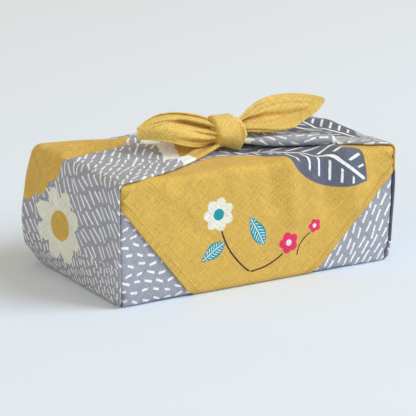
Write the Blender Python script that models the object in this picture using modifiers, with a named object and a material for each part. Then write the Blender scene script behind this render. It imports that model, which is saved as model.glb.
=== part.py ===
"""A box-shaped bundle wrapped in one square cloth, tied on top in a square knot with two free ends.

Metres, +Z up. The origin is the middle of the underside. The front is towards -Y and the ends are towards
-X and +X. The cloth lies cornerwise under the bundle: the near corner goes up the front and over the top as a
hidden inner layer, the far corner goes up the back, over the top and down the front as the flap, with its tip
tucked under the front edge, and the two side corners go up the ends and across the top to the knot.
"""

import math
from collections import namedtuple

import bmesh
import bpy
from mathutils import Vector

MM = 0.001

# The tied bundle
LENGTH = 195 * MM
WIDTH = 111 * MM
HEIGHT = 75 * MM
CLOTH = 1.0 * MM
GAP = 0.4 * MM
PITCH = CLOTH + GAP

# Folds
TOP_BEND = 3.0 * MM
FOOT_BEND = 3.0 * MM
BACK_FOOT_BEND = 3.5 * MM
CORNER_BEND = 1.6 * MM
STRIP_FOOT_BEND = 3.5 * MM
WRAP_DEPTH = 14 * MM
UNDER_DEPTH = 14 * MM
BEND_STEPS = 3
ROLL_STEPS = 4
UNDER_STEPS = 3

# The front flap: its two hems and the tip that is tucked under
HEM_LEFT_TOP = 62 * MM
HEM_RIGHT_TOP = 60 * MM
HEM_LEFT_FOOT = 48.7 * MM
HEM_RIGHT_FOOT = 39.2 * MM
TUCK_DEPTH = 40 * MM
NEAR_END_HEIGHT = 3 * MM
NEAR_END_HALF = 40 * MM

# Middle of each layer, from the outside in
END_OUT = LENGTH / 2 - CLOTH / 2
END_FAR = END_OUT - 2 * PITCH
END_NEAR = END_OUT - 3 * PITCH
SIDE_OUT = WIDTH / 2 - CLOTH / 2
SIDE_IN = SIDE_OUT - PITCH
TOP_OUT = HEIGHT - CLOTH / 2
TOP_IN = TOP_OUT - PITCH
TOP_STRIP = TOP_OUT + 2 * PITCH
FLOOR = CLOTH / 2
WALL_HALF = END_NEAR - CORNER_BEND
BASE_HALF = END_OUT - STRIP_FOOT_BEND
STRIP_TOP_BEND = CORNER_BEND + 3 * PITCH
HALF_PITCH = PITCH / 2
UNDER_START = 3.9 * MM
UNDER_SHARE = 0.42

# Where the loose height of a strip starts and is highest, from -1 at its front edge to 1 at its back edge
CROWN_FRONT = -0.4
CROWN_TOP = 0.35
ROLL_START = -0.55

# Pleats that gather a strip beside the knot: their height and where along the strip they fade, in mm
PLEATS = 5
PLEAT_HEIGHT = 0.6
PLEAT_EDGE = 0.58
PLEAT_CORE = 0.2
PLEAT_END = 52.0
PLEAT_FULL = 20.0

# Where the loose folds of an end fade out, in mm: above the base, and before the strip narrows to the knot
BULGE_FOOT = (8.0, 20.0)
BULGE_TOP = (78.0, 92.0)

# Height in mm over which a strip widens from the base's edge to the whole width of an end
OPEN_HEIGHT = 6.0

# Mesh counts
WALL_COLUMNS = 6
WRAP_COLUMNS = 2
BASE_ROWS = 10
ROW_STEPS = 2
STRIP_WALL_PARTS = (0, 0.04, 0.12, 0.28, 0.46, 0.64, 0.82, 1)

# How the tip lifts the base panel that lies on it
LIFT_CLEAR = 18 * MM
LIFT_FADE = 8 * MM
LIFT_HEIGHT = 12 * MM

# Heights between which the inner front is pushed out sideways
PUSH_FULL = 12 * MM
PUSH_FULL_TOP = 38 * MM
PUSH_TOP = 50 * MM

Station = namedtuple("Station", "point way leg to_bend")
StripRow = namedtuple("StripRow", "x z front back crown roll")
TailRow = namedtuple("TailRow", "x low high y lean curl")

# Strips on the top of the bundle, from the end to the knot, in mm: x is the distance from the middle, front and
# back are the edges' distances from the middle line, crown is the loose height and roll the front fold's radius
LEFT_STRIP = (
    StripRow(84, 77.3, 53.6, 54.0, 0.3, 0.7),
    StripRow(70, 77.3, 49.0, 51.0, 1.5, 0.7),
    StripRow(55, 77.4, 42.8, 45.0, 3.4, 0.7),
    StripRow(40, 77.6, 35.0, 35.0, 4.8, 0.7),
    StripRow(28, 77.6, 28.0, 23.0, 5.0, 0.8),
    StripRow(18, 78.0, 22.0, 12.0, 4.0, 0.9),
    StripRow(10, 79.0, 18.0, 5.0, 2.4, 0.9),
    StripRow(3, 80.5, 15.0, 1.0, 0.6, 0.9),
)
RIGHT_STRIP = (
    StripRow(84, 77.3, 49.5, 54.0, 0.3, 0.7),
    StripRow(70, 77.3, 40.0, 50.0, 1.2, 0.9),
    StripRow(55, 77.4, 33.5, 43.0, 2.6, 1.8),
    StripRow(42, 77.5, 28.5, 35.0, 4.0, 2.4),
    StripRow(31, 77.8, 24.5, 25.0, 4.2, 2.4),
    StripRow(22, 78.4, 21.5, 14.0, 3.6, 2.0),
    StripRow(14, 79.6, 18.0, 6.0, 2.2, 1.2),
    StripRow(7, 81.0, 15.0, 1.0, 0.6, 0.9),
)

# Free ends of the knot, from the knot to the tip, in mm: low and high are the two edges, lean is how far the high
# edge is behind the line y, and curl is how far the middle stands out to the front
LEFT_TAIL = (
    TailRow(-3, 85.0, 92.0, -8.0, 0.0, 1.0),
    TailRow(-11, 81.8, 94.0, -9.0, 1.5, 2.5),
    TailRow(-18, 79.8, 97.4, -10.0, 3.5, 4.0),
    TailRow(-27, 79.3, 100.2, -10.8, 5.0, 5.0),
    TailRow(-37, 82.2, 101.6, -10.5, 4.5, 5.0),
    TailRow(-48, 86.4, 99.8, -9.5, 3.0, 3.5),
    TailRow(-55, 89.2, 97.0, -8.5, 1.5, 2.0),
    TailRow(-58.5, 90.6, 94.4, -8.0, 0.5, 0.8),
)
RIGHT_TAIL = (
    TailRow(7, 85.0, 92.0, -8.0, 0.0, -1.0),
    TailRow(14, 83.0, 94.5, -8.0, 1.0, -3.5),
    TailRow(22, 81.6, 99.5, -8.0, 2.0, -6.0),
    TailRow(33, 81.0, 103.0, -8.0, 2.5, -7.5),
    TailRow(46, 81.8, 104.0, -8.0, 2.5, -7.5),
    TailRow(58, 84.8, 103.2, -8.0, 2.0, -5.5),
    TailRow(69, 91.0, 101.2, -8.0, 1.0, -2.5),
    TailRow(76.5, 97.2, 99.4, -8.0, 0.0, -0.6),
)
TAIL_CLOTH = 1.4 * MM
TAIL_COLUMNS = 8

# The knot's barrel: middle, half length along X, radius and how far its top leans to the left
KNOT_MIDDLE = Vector((3.0, -8.0, 86.6)) * MM
KNOT_HALF = 14.5 * MM
KNOT_RADIUS = 11.0 * MM
KNOT_LEAN = 0.22
KNOT_GIRTH_POWER = 3.2
KNOT_END_POWER = 0.8

# Loose folds that stand out from the ends, in mm: where along Y and Z, their reach and how far they stand out
Bulge = namedtuple("Bulge", "y z reach_y reach_z out")
LEFT_BULGES = (Bulge(58, 36, 26, 17, 4.4), Bulge(-20, 40, 22, 26, 0.7))
RIGHT_BULGES = (Bulge(58, 40, 26, 18, 3.2), Bulge(10, 66, 16, 20, 0.9), Bulge(-24, 74, 9, 9, -1.4))


def smooth(low, high, value):
    """A soft step from 0 at low to 1 at high."""
    part = min(max((value - low) / (high - low), 0.0), 1.0)
    return part * part * (3 - 2 * part)


def between(rows, steps):
    """The rows of a table with smoothly interpolated rows added between them."""
    filled = []
    last = len(rows) - 1
    for index in range(last):
        around = [rows[min(max(index + k, 0), last)] for k in (-1, 0, 1, 2)]
        for step in range(steps):
            t = step / steps
            weights = (
                (-t + 2 * t**2 - t**3) / 2,
                (2 - 5 * t**2 + 3 * t**3) / 2,
                (t + 4 * t**2 - 3 * t**3) / 2,
                (-(t**2) + t**3) / 2,
            )
            values = (sum(w * v for w, v in zip(weights, column)) for column in zip(*around))
            filled.append(type(rows[0])(*values))
    return filled + [rows[last]]


def even(steps):
    """Parts of a run at even steps, from 0 to 1."""
    return tuple(k / steps for k in range(steps + 1))


def square_path(corners, radii, run_parts):
    """Stations along straight legs that meet at rounded right angles."""
    corners = [Vector(corner) for corner in corners]
    ways = [(end - start).normalized() for start, end in zip(corners, corners[1:])]
    last = len(ways) - 1
    stations = []
    for leg, way in enumerate(ways):
        start = corners[leg] + way * (radii[leg - 1] if leg > 0 else 0)
        end = corners[leg + 1] - way * (radii[leg] if leg < last else 0)
        run = (end - start).length
        for part in run_parts[leg]:
            done = run * part
            behind = done if leg > 0 else math.inf
            ahead = run - done if leg < last else math.inf
            stations.append(Station(start + way * done, way, leg, min(behind, ahead)))
        if leg == last:
            break
        centre = end + ways[leg + 1] * radii[leg]
        for step in range(1, BEND_STEPS):
            turn = math.pi / 2 * step / BEND_STEPS
            arm = way * math.sin(turn) - ways[leg + 1] * math.cos(turn)
            heading = way * math.cos(turn) + ways[leg + 1] * math.sin(turn)
            stations.append(Station(centre + arm * radii[leg], heading, leg + 0.5, 0.0))
    return stations


def add_grid(bm, rows):
    """Faces between rows of points, each row with the same number of them."""
    verts = [[bm.verts.new(point) for point in row] for row in rows]
    for lower, upper in zip(verts, verts[1:]):
        for k in range(len(lower) - 1):
            bm.faces.new((lower[k], lower[k + 1], upper[k + 1], upper[k]))


# The long strip of the cloth, from the near corner to the far corner
INNER_BACK, INNER_TOP, INNER_FRONT, BASE, BACK, TOP, FLAP, TIP = range(8)
LONG_STRIP_CORNERS = (
    (SIDE_IN, NEAR_END_HEIGHT),
    (SIDE_IN, TOP_IN),
    (-SIDE_IN, TOP_IN),
    (-SIDE_IN, FLOOR),
    (SIDE_OUT, FLOOR),
    (SIDE_OUT, TOP_OUT),
    (-SIDE_OUT, TOP_OUT),
    (-SIDE_OUT, FLOOR),
    (-SIDE_OUT + TUCK_DEPTH, FLOOR),
)
LONG_STRIP_RADII = (
    TOP_BEND,
    TOP_BEND,
    FOOT_BEND,
    BACK_FOOT_BEND,
    TOP_BEND + PITCH,
    TOP_BEND + PITCH,
    FOOT_BEND + PITCH,
)
FLAP_PARTS = (0, 0.06, 0.11, 0.15, 0.19, 0.22, 0.25, 0.29, 0.4, 0.55, 0.7, 0.85, 1)
LONG_STRIP_PARTS = (even(4), even(8), even(6), even(BASE_ROWS), even(6), even(8), FLAP_PARTS, even(4))
MITRE_START = 0.87
MITRE = 0.9


def hem_half(station, side):
    """Half width of the cloth that its own hems leave at a station of the long strip."""
    y, z = station.point
    if station.leg == INNER_BACK:
        return min(NEAR_END_HALF + (z - NEAR_END_HEIGHT), WALL_HALF)
    if station.leg < FLAP:
        return math.inf
    foot, top = (HEM_LEFT_FOOT, HEM_LEFT_TOP) if side < 0 else (HEM_RIGHT_FOOT, HEM_RIGHT_TOP)
    if station.leg == FLAP:
        return foot + (LENGTH / 2 - foot) * z / top
    return foot * min(1.0, (TUCK_DEPTH - SIDE_OUT - y) / TUCK_DEPTH)


def wall_half(station, bend):
    """Half width, round the upright corners as well, mitred where the long strip bends."""
    if station.leg == BASE:
        return BASE_HALF
    return WALL_HALF + min(bend * math.pi / 2 + WRAP_DEPTH, MITRE_START * bend + MITRE * station.to_bend)


def corner_push(station):
    """How far the inner front stands out sideways below the flap's own corners."""
    if station.leg != INNER_FRONT:
        return 0.0
    z = station.point[1]
    return PITCH * smooth(FLOOR + FOOT_BEND, PUSH_FULL, z) * smooth(PUSH_TOP, PUSH_FULL_TOP, z)


def tip_lift(x, y, z):
    """Height that the tucked tip adds to the cloth that lies on it."""
    foot = HEM_LEFT_FOOT if x < 0 else HEM_RIGHT_FOOT
    beside = abs(x) - foot * (1 - (y + SIDE_OUT) / TUCK_DEPTH)
    level = 1 - smooth(LIFT_CLEAR, LIFT_CLEAR + LIFT_FADE, beside * math.sqrt(0.5))
    return PITCH * level * (1 - smooth(FLOOR + FOOT_BEND, FLOOR + FOOT_BEND + LIFT_HEIGHT, z))


def long_strip_point(station, across, bend, end_plane):
    """Place of a point of the long strip, across being its distance from the strip's middle line."""
    y, z = station.point
    inward = Vector((-station.way[1], station.way[0]))
    beyond = abs(across) - WALL_HALF
    side = math.copysign(1.0, across)
    x, inset = across, 0.0
    if station.leg != BASE and beyond > 0:
        turn = min(beyond / bend, math.pi / 2)
        x = side * (end_plane - bend + bend * math.sin(turn))
        inset = bend * (1 - math.cos(turn)) + max(beyond - bend * math.pi / 2, 0.0)
    x += side * corner_push(station) * min(abs(across) / WALL_HALF, 1.0)
    if INNER_FRONT <= station.leg <= BASE:
        z += tip_lift(x, y, z)
    return Vector((x, y + inward[0] * inset, z + inward[1] * inset))


def long_strip(bm):
    """The near and far arms and the base panel, as one open surface."""
    rows = []
    for station in square_path(LONG_STRIP_CORNERS, LONG_STRIP_RADII, LONG_STRIP_PARTS):
        outer = station.leg > BASE
        bend = CORNER_BEND + (PITCH if outer else 0)
        end_plane = END_FAR if outer else END_NEAR
        full = wall_half(station, bend)
        flat = BASE_HALF if station.leg == BASE else WALL_HALF
        quarter = bend * math.pi / 2
        steps = [flat * k / WALL_COLUMNS for k in range(WALL_COLUMNS + 1)]
        steps += [flat + quarter * k / BEND_STEPS for k in range(1, BEND_STEPS + 1)]
        steps += [flat + quarter + WRAP_DEPTH * k / WRAP_COLUMNS for k in range(1, WRAP_COLUMNS + 1)]
        left = min(full, hem_half(station, -1))
        right = min(full, hem_half(station, 1))
        places = [-min(step, left) for step in reversed(steps[1:])] + [min(step, right) for step in steps]
        rows.append([long_strip_point(station, place, bend, end_plane) for place in places])
    add_grid(bm, rows)


def strip_stations(side, table):
    """Rows of an end strip from the base's edge to the knot: place, outward way, edges, crown and roll."""
    corners = (
        (BASE_HALF, FLOOR),
        (END_OUT, FLOOR),
        (END_OUT, TOP_STRIP),
        (table[0].x * MM + CLOTH, TOP_STRIP),
    )
    wall = square_path(corners, (STRIP_FOOT_BEND, STRIP_TOP_BEND), ((0,), STRIP_WALL_PARTS, (0,)))
    edge = (SIDE_OUT - HALF_PITCH) / MM
    foot_front = (SIDE_IN - FOOT_BEND) / MM
    foot_back = (SIDE_OUT - BACK_FOOT_BEND) / MM
    rows = []
    for station in wall:
        x, z = station.point / MM
        opened = math.sqrt(min((z - FLOOR / MM) / OPEN_HEIGHT, 1.0))
        front = foot_front + (edge - foot_front) * opened
        back = foot_back + (edge - foot_back) * opened
        rows.append(StripRow(x, z, front, back, 0.0, HALF_PITCH / MM))
    rows += between(table, ROW_STEPS)
    stations = []
    for index, row in enumerate(rows):
        before = rows[max(index - 1, 0)]
        after = rows[min(index + 1, len(rows) - 1)]
        heading = Vector((after.x - before.x, after.z - before.z)).normalized()
        if index == 0:
            heading = Vector((1, 0))
        stations.append((row, Vector((heading[1] * side, 0, -heading[0])), side))
    return stations


def strip_surface(station, v, bulges):
    """Place on an end strip without its rolled edge, v running from -1 at the front edge to 1 at the back."""
    row, out, side = station
    y = (row.back - row.front) / 2 + v * (row.back + row.front) / 2
    stand = row.crown * smooth(CROWN_FRONT, CROWN_TOP, v) * smooth(1.0, CROWN_TOP, v)
    gathered = smooth(PLEAT_END, PLEAT_FULL, row.x) * smooth(PLEAT_EDGE, PLEAT_CORE, abs(v))
    stand += PLEAT_HEIGHT * math.cos(PLEATS * math.pi * v) * gathered
    for bulge in bulges:
        near_y = math.exp(-(((y - bulge.y) / bulge.reach_y) ** 2))
        near_z = math.exp(-(((row.z - bulge.z) / bulge.reach_z) ** 2))
        on_wall = smooth(*BULGE_FOOT, row.z) * smooth(*BULGE_TOP, row.x)
        stand += bulge.out * near_y * near_z * on_wall
    return Vector((side * row.x, y, row.z)) * MM + out * stand * MM


def end_strip(bm, side, table, bulges):
    """One side arm: up the end, across the top, with its long edges folded under."""
    stations = strip_stations(side, table)
    columns = [-1 + 2 * k / BASE_ROWS for k in range(BASE_ROWS + 1)]
    rows = []
    for station in stations:
        row, out, _ = station
        lift = 2 * (row.roll * MM - HALF_PITCH)
        rows.append([strip_surface(station, v, bulges) + out * lift * smooth(ROLL_START, -1.0, v) for v in columns])
    add_grid(bm, rows)
    for edge in (-1, 1):
        rows = []
        rims = [strip_surface(station, edge, bulges) for station in stations]
        for index, station in enumerate(stations):
            row, out, _ = station
            if row.z < UNDER_START / MM:
                continue
            radius = row.roll * MM if edge < 0 else HALF_PITCH
            rim = rims[index]
            centre = rim + out * (radius - PITCH)
            along = rims[min(index + 1, len(rims) - 1)] - rims[index - 1]
            sideways = along.cross(out).normalized()
            sideways *= math.copysign(1.0, sideways.y * edge)
            points = []
            for step in range(ROLL_STEPS + 1):
                turn = math.pi * step / ROLL_STEPS
                points.append(centre + (out * math.cos(turn) + sideways * math.sin(turn)) * radius)
            half = (row.back + row.front) / 2
            depth = min(UNDER_DEPTH / MM, UNDER_SHARE * half)
            for step in range(1, UNDER_STEPS + 1):
                v = edge * (1 - depth * step / UNDER_STEPS / half)
                points.append(strip_surface(station, v, bulges) - out * PITCH)
            rows.append(points)
        add_grid(bm, rows)


def tail(bm, table):
    """A free end: a leaf that is hollowed or bellied across its length."""
    rows = []
    for row in between(table, ROW_STEPS):
        points = []
        for k in range(TAIL_COLUMNS + 1):
            v = -1 + 2 * k / TAIL_COLUMNS
            z = (row.low + row.high) / 2 + v * (row.high - row.low) / 2
            y = row.y - row.curl * (1 - v * v) + row.lean * v
            points.append(Vector((row.x, y, z)) * MM)
        rows.append(points)
    add_grid(bm, rows)


def knot_barrel(bm):
    """The last turn of the knot: a short barrel along X that leans to the left at its top."""
    bmesh.ops.create_uvsphere(bm, u_segments=20, v_segments=12, radius=1.0)
    for vert in bm.verts:
        along = vert.co.z
        spread = math.hypot(vert.co.x, vert.co.y) or 1.0
        girth = (1 - abs(along) ** KNOT_GIRTH_POWER) ** (1 / KNOT_GIRTH_POWER)
        depth = vert.co.x / spread * girth * KNOT_RADIUS
        height = vert.co.y / spread * girth * KNOT_RADIUS
        x = math.copysign(abs(along) ** KNOT_END_POWER, along) * KNOT_HALF - KNOT_LEAN * height
        vert.co = KNOT_MIDDLE + Vector((x, depth, height))


def new_object(name, build, collection, thickness=None, material=None):
    """A mesh object from a building function, thickened to cloth where a thickness is given."""
    bm = bmesh.new()
    build(bm)
    bmesh.ops.remove_doubles(bm, verts=bm.verts, dist=0.01 * MM)
    bmesh.ops.recalc_face_normals(bm, faces=bm.faces)
    mesh = bpy.data.meshes.new(name)
    bm.to_mesh(mesh)
    bm.free()
    made = bpy.data.objects.new(name, mesh)
    collection.objects.link(made)
    if thickness:
        solidify = made.modifiers.new("thickness", "SOLIDIFY")
        solidify.thickness = thickness
        solidify.offset = 0
    if material:
        mesh.materials.append(material)
    return made


def cloth_surface(bm):
    """The whole folded sheet up to the knot."""
    long_strip(bm)
    end_strip(bm, -1, LEFT_STRIP, LEFT_BULGES)
    end_strip(bm, 1, RIGHT_STRIP, RIGHT_BULGES)


def cloth_material():
    """Printed linen, taken at the colour of its ground."""
    material = bpy.data.materials.new("printed linen")
    material.use_nodes = True
    shader = material.node_tree.nodes["Principled BSDF"]
    shader.inputs["Base Color"].default_value = (0.62, 0.38, 0.06, 1)
    shader.inputs["Roughness"].default_value = 0.85
    shader.inputs["Metallic"].default_value = 0.0
    return material


def main():
    """Build the wrap as one solid, with its knot and free ends joined to the sheet."""
    for item in list(bpy.data.objects):
        bpy.data.objects.remove(item, do_unlink=True)
    parts = bpy.data.collections.new("cloth wrap")
    joined = bpy.data.collections.new("joined pieces")
    bpy.context.scene.collection.children.link(parts)
    bpy.context.scene.collection.children.link(joined)
    wrap = new_object("cloth", cloth_surface, parts, CLOTH, cloth_material())
    pieces = (
        new_object("knot_barrel", knot_barrel, joined),
        new_object("left_tail", lambda bm: tail(bm, LEFT_TAIL), joined, TAIL_CLOTH),
        new_object("right_tail", lambda bm: tail(bm, RIGHT_TAIL), joined, TAIL_CLOTH),
    )
    for piece in pieces:
        piece.hide_render = True
        piece.display_type = "WIRE"
        union = wrap.modifiers.new(f"join {piece.name}", "BOOLEAN")
        union.operation = "UNION"
        union.solver = "EXACT"
        union.object = piece


main()
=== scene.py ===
"""The looks of a furoshiki wrap: one square of printed linen, folded round a box-shaped hollow and tied on top.

Metres, +Z up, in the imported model's own frame: the origin is the middle of the underside, the front flap is towards
-Y and the ends are towards -X and +X. Places on the flat cloth are (u, v) from its middle, u towards the right corner
and v towards the far corner, which becomes the flap. The tables, and the sizes of EndStrip, FreeEnd, Knot, Printer
and PrintedLinen, are in millimetres.
"""

import logging
import math
from dataclasses import dataclass
from enum import Enum, IntEnum
from functools import partialmethod
from typing import Callable, NamedTuple, Optional, Sequence, TypeVar, Union

import bmesh
import bpy
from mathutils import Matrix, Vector


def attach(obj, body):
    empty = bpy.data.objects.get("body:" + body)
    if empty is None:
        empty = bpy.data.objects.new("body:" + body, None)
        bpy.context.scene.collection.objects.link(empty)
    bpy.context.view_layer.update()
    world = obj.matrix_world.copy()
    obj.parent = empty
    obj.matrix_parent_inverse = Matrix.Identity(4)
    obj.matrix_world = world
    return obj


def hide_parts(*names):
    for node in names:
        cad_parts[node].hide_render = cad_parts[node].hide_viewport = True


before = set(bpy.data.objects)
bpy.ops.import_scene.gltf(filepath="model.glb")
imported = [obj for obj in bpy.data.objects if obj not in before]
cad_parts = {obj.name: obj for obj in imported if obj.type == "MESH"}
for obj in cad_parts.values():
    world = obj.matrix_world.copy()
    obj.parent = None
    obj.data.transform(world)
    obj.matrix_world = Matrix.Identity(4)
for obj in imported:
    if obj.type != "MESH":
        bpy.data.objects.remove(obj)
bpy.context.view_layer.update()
CAD_NODE = "cloth"
BODY = "root"

MM = 0.001
WELD = 0.005 * MM
# the edge distance of cloth that has no hem near it
FAR_FROM_EDGE = 0.1
LOG = logging.getLogger("furoshiki")
Row = TypeVar("Row")


class Side(IntEnum):
    """The two ends of the bundle, by their direction along X."""

    LEFT = -1
    RIGHT = 1


class Leg(IntEnum):
    """The straight runs of the long strip, from the near corner of the cloth to the far one."""

    INNER_BACK = 0
    INNER_TOP = 1
    INNER_FRONT = 2
    BASE = 3
    BACK = 4
    TOP = 5
    FLAP = 6
    TIP = 7


class Station(NamedTuple):
    """A place on a square path: its point, heading and leg, the distance to the next bend and the length so far."""

    point: Vector
    way: Vector
    leg: float
    to_bend: float
    gone: float


class Course(NamedTuple):
    """Lengths along the long strip: up to the base's middle, and from an inner layer to the one that covers it."""

    middle: float
    cover: float


class ClothPoint(NamedTuple):
    """A point of the cloth: where it is, where it is on the flat square, and how far it is from a hemmed edge."""

    place: Vector
    flat: tuple[float, float]
    edge: float


class StripRow(NamedTuple):
    """A row across an end strip, in mm: distance from the middle, height, two edges, loose height and edge's roll."""

    x: float
    z: float
    front: float
    back: float
    crown: float
    roll: float


class TailRow(NamedTuple):
    """A row across a free end, in mm: its two edges, the line they follow, their lean and the belly between them."""

    x: float
    low: float
    high: float
    y: float
    lean: float
    curl: float


class TailCrease(NamedTuple):
    """A fold along a free end, between places in mm from the knot and -1 to 1 across: its width and height."""

    gone: float
    v: float
    to_gone: float
    to_v: float
    width: float
    out: float


class Bulge(NamedTuple):
    """A loose round fold on an end, in mm: its middle along Y and Z, its reach and how far it stands out."""

    y: float
    z: float
    reach_y: float
    reach_z: float
    out: float


class Crease(NamedTuple):
    """A soft ridge, or a trough where out is negative, between two places on the flat cloth, in mm."""

    u: float
    v: float
    to_u: float
    to_v: float
    width: float
    out: float


class Sag(NamedTuple):
    """A shift of every layer along X, in mm: its size, and the soft steps (axis, low, high) that bound it."""

    out: float
    steps: tuple[tuple[int, float, float], ...]


def table(kind: Callable[..., Row], *rows: Sequence[float]) -> tuple[Row, ...]:
    """Makes the rows of a table from plain numbers."""
    return tuple(kind(*row) for row in rows)


CREASES = table(
    Crease,
    # on the flap
    (58, 224, 66, 270, 6.5, 2.4),
    (44, 230, 47, 268, 5.5, -2.0),
    (19, 226, 23, 272, 5.0, 2.1),
    (6, 234, 8, 262, 4.5, -1.5),
    (-20, 226, -16, 250, 6.0, 1.0),
    (-24, 302, 8, 268, 4.5, 0.8),
    (-74, 234, -44, 264, 5.5, 1.3),
    (-60, 250, -32, 282, 5.5, -1.0),
    (30, 290, 60, 262, 5.0, -0.8),
    (46, 292, 74, 262, 5.0, 0.9),
    (80, 236, 84, 256, 6.0, -0.9),
    (-14, 200, 16, 204, 4.5, -1.8),
    # on the left end and over its top edge
    (-112, -14, -176, -8, 8.0, 0.9),
    (-120, -34, -178, -30, 6.0, -0.8),
    (-150, 20, -200, 16, 6.0, -1.1),
    (-128, 36, -182, 34, 5.0, 1.2),
    (-134, 44, -184, 45, 4.0, -0.8),
    (-112, 2, -140, 8, 7.0, -0.6),
    # from the left end to the knot
    (-258, -12, -196, -22, 3.2, -1.3),
    (-258, -6, -190, 2, 4.0, 1.7),
    (-256, -2, -194, 20, 3.2, -1.9),
    (-256, 2, -200, 34, 3.0, 1.5),
    (-254, 6, -206, 42, 2.4, -1.2),
    (-254, -16, -214, -33, 2.6, 0.9),
    (-238, -10, -206, -13, 4.5, -1.6),
    (-214, 8, -172, 7, 3.0, 1.5),
    (-218, 13, -176, 16, 2.6, -1.4),
    (-214, 21, -174, 24, 3.0, 1.7),
    (-214, 29, -178, 33, 2.4, -1.4),
    (-212, 37, -176, 41, 2.6, 1.3),
    # from the right end to the knot
    (256, -10, 196, -14, 3.6, 1.0),
    (256, -4, 190, 4, 3.6, -1.3),
    (256, 0, 188, 20, 4.5, 1.4),
    (254, 4, 206, 34, 3.4, -1.0),
    # on the right end and over its top edge
    (120, 12, 178, 16, 7.0, 0.8),
    (128, -22, 180, -26, 6.0, -0.9),
    (112, -40, 150, -38, 7.0, 0.5),
    # on the back
    (-40, 70, -30, 128, 9.0, 0.8),
    (36, 76, 24, 130, 9.0, -0.7),
    (-70, 100, -58, 134, 7.0, -0.6),
    (66, 92, 74, 130, 7.0, 0.7),
    # on the grey triangles beside the flap
    (-84, 300, -74, 266, 5.0, -0.5),
    (82, 300, 78, 270, 5.0, 0.6),
)

LEFT_STRIP = table(
    StripRow,
    (84, 76.4, 53.6, 54.0, 0.8, 0.7),
    (70, 76.4, 49.0, 51.0, 2.2, 0.75),
    (55, 76.5, 42.8, 45.0, 4.3, 0.8),
    (40, 76.8, 35.0, 35.0, 5.6, 0.85),
    (28, 77.0, 28.0, 23.0, 5.6, 0.9),
    (18, 77.6, 22.0, 12.0, 4.4, 1.0),
    (10, 78.8, 18.0, 5.0, 2.4, 1.0),
    (3, 80.5, 15.0, 1.0, 0.6, 1.0),
)
RIGHT_STRIP = table(
    StripRow,
    (84, 76.4, 49.5, 54.0, 0.8, 0.8),
    (70, 76.4, 40.3, 50.0, 1.9, 0.8),
    (65.5, 76.4, 38.2, 48.0, 2.3, 0.9),
    (62, 76.4, 36.6, 46.4, 2.7, 2.9),
    (53, 76.5, 32.7, 42.0, 3.6, 3.2),
    (42, 76.7, 28.5, 35.0, 4.8, 3.2),
    (31, 77.1, 24.5, 25.0, 4.9, 3.1),
    (22, 77.9, 21.5, 14.0, 4.0, 2.5),
    (14, 79.3, 18.0, 6.0, 2.3, 1.5),
    (7, 81.0, 15.0, 1.0, 0.6, 1.0),
)
LEFT_BULGES = (Bulge(58, 30, 28, 22, 4.4), Bulge(-20, 40, 22, 26, 0.7))
RIGHT_BULGES = (Bulge(58, 40, 26, 18, 3.2), Bulge(10, 62, 16, 20, 0.9))
LEFT_TAIL = table(
    TailRow,
    (-3, 81.0, 92.5, -10.0, 1.0, 8.0),
    (-9, 80.0, 95.2, -9.8, 1.5, 8.2),
    (-13, 79.6, 97.0, -9.6, 2.5, 7.4),
    (-18.5, 79.5, 98.8, -9.8, 3.5, 6.4),
    (-30, 82.0, 101.3, -11.0, 5.0, 4.8),
    (-43, 86.0, 101.6, -10.5, 3.5, 4.0),
    (-52, 87.4, 99.2, -9.5, 1.5, 2.5),
    (-57, 88.0, 96.6, -8.8, 0.8, 1.2),
    (-59.4, 88.4, 95.2, -8.5, 0.4, 0.6),
)
RIGHT_TAIL = table(
    TailRow,
    (7, 84.0, 90.5, -9.0, 1.0, -0.5),
    (14.5, 84.5, 92.9, -8.5, 2.0, -1.0),
    (23, 83.5, 97.5, -8.5, 4.5, -1.5),
    (34, 82.9, 101.5, -9.0, 7.0, -2.0),
    (48, 84.0, 102.7, -8.0, 7.5, -2.0),
    (62, 87.4, 101.6, -6.5, 5.5, -1.5),
    (70.5, 90.9, 100.4, -6.5, 3.0, -0.8),
    (75.0, 93.8, 99.3, -6.8, 1.2, -0.3),
    (77.4, 96.4, 98.2, -7.0, 0.5, -0.1),
)
LEFT_TAIL_CREASES = table(
    TailCrease,
    (1, 0.22, 24, 0.38, 0.20, -7.0),
    (2, 0.56, 44, 0.72, 0.11, 2.4),
    (8, 0.82, 46, 0.89, 0.09, -3.0),
    (2, 0.00, 20, 0.16, 0.10, 1.5),
    (2, -0.20, 18, -0.08, 0.08, -1.6),
    (2, -0.42, 20, -0.36, 0.10, 1.1),
    (2, -0.64, 22, -0.66, 0.08, -1.4),
    (28, -0.1, 50, 0.1, 0.26, 0.8),
)
RIGHT_TAIL_CREASES = table(
    TailCrease,
    (12, 0.06, 48, -0.58, 0.34, -6.5),
    (12, -0.55, 44, -0.92, 0.16, 2.6),
    (3, -0.40, 24, -0.58, 0.07, -1.5),
    (3, 0.16, 18, 0.22, 0.09, 1.2),
    (3, 0.50, 20, 0.66, 0.10, -1.0),
    (26, -0.52, 34, -0.74, 0.05, -0.7),
)
SAGS = (
    # the right end leans out towards its top
    Sag(2.3, ((0, 20, 98), (2, 4, 60), (2, 92, 80))),
    # the left end bulges out towards its back
    Sag(-5.6, ((0, -40, -98), (1, -40, 56), (2, 0, 15), (2, 84, 54))),
    # the right end draws in at its foot
    Sag(-2.2, ((0, 84, 98), (2, 14, 0))),
)


def smooth(low: float, high: float, value: float) -> float:
    """A soft step, 0 at low and 1 at high, which may be below low."""
    part = min(max((value - low) / (high - low), 0.0), 1.0)
    return part * part * (3 - 2 * part)


def hump(middle: float, width: float, value: float) -> float:
    """A soft hump, 1 high at its middle."""
    return math.exp(-(((value - middle) / width) ** 2))


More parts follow.
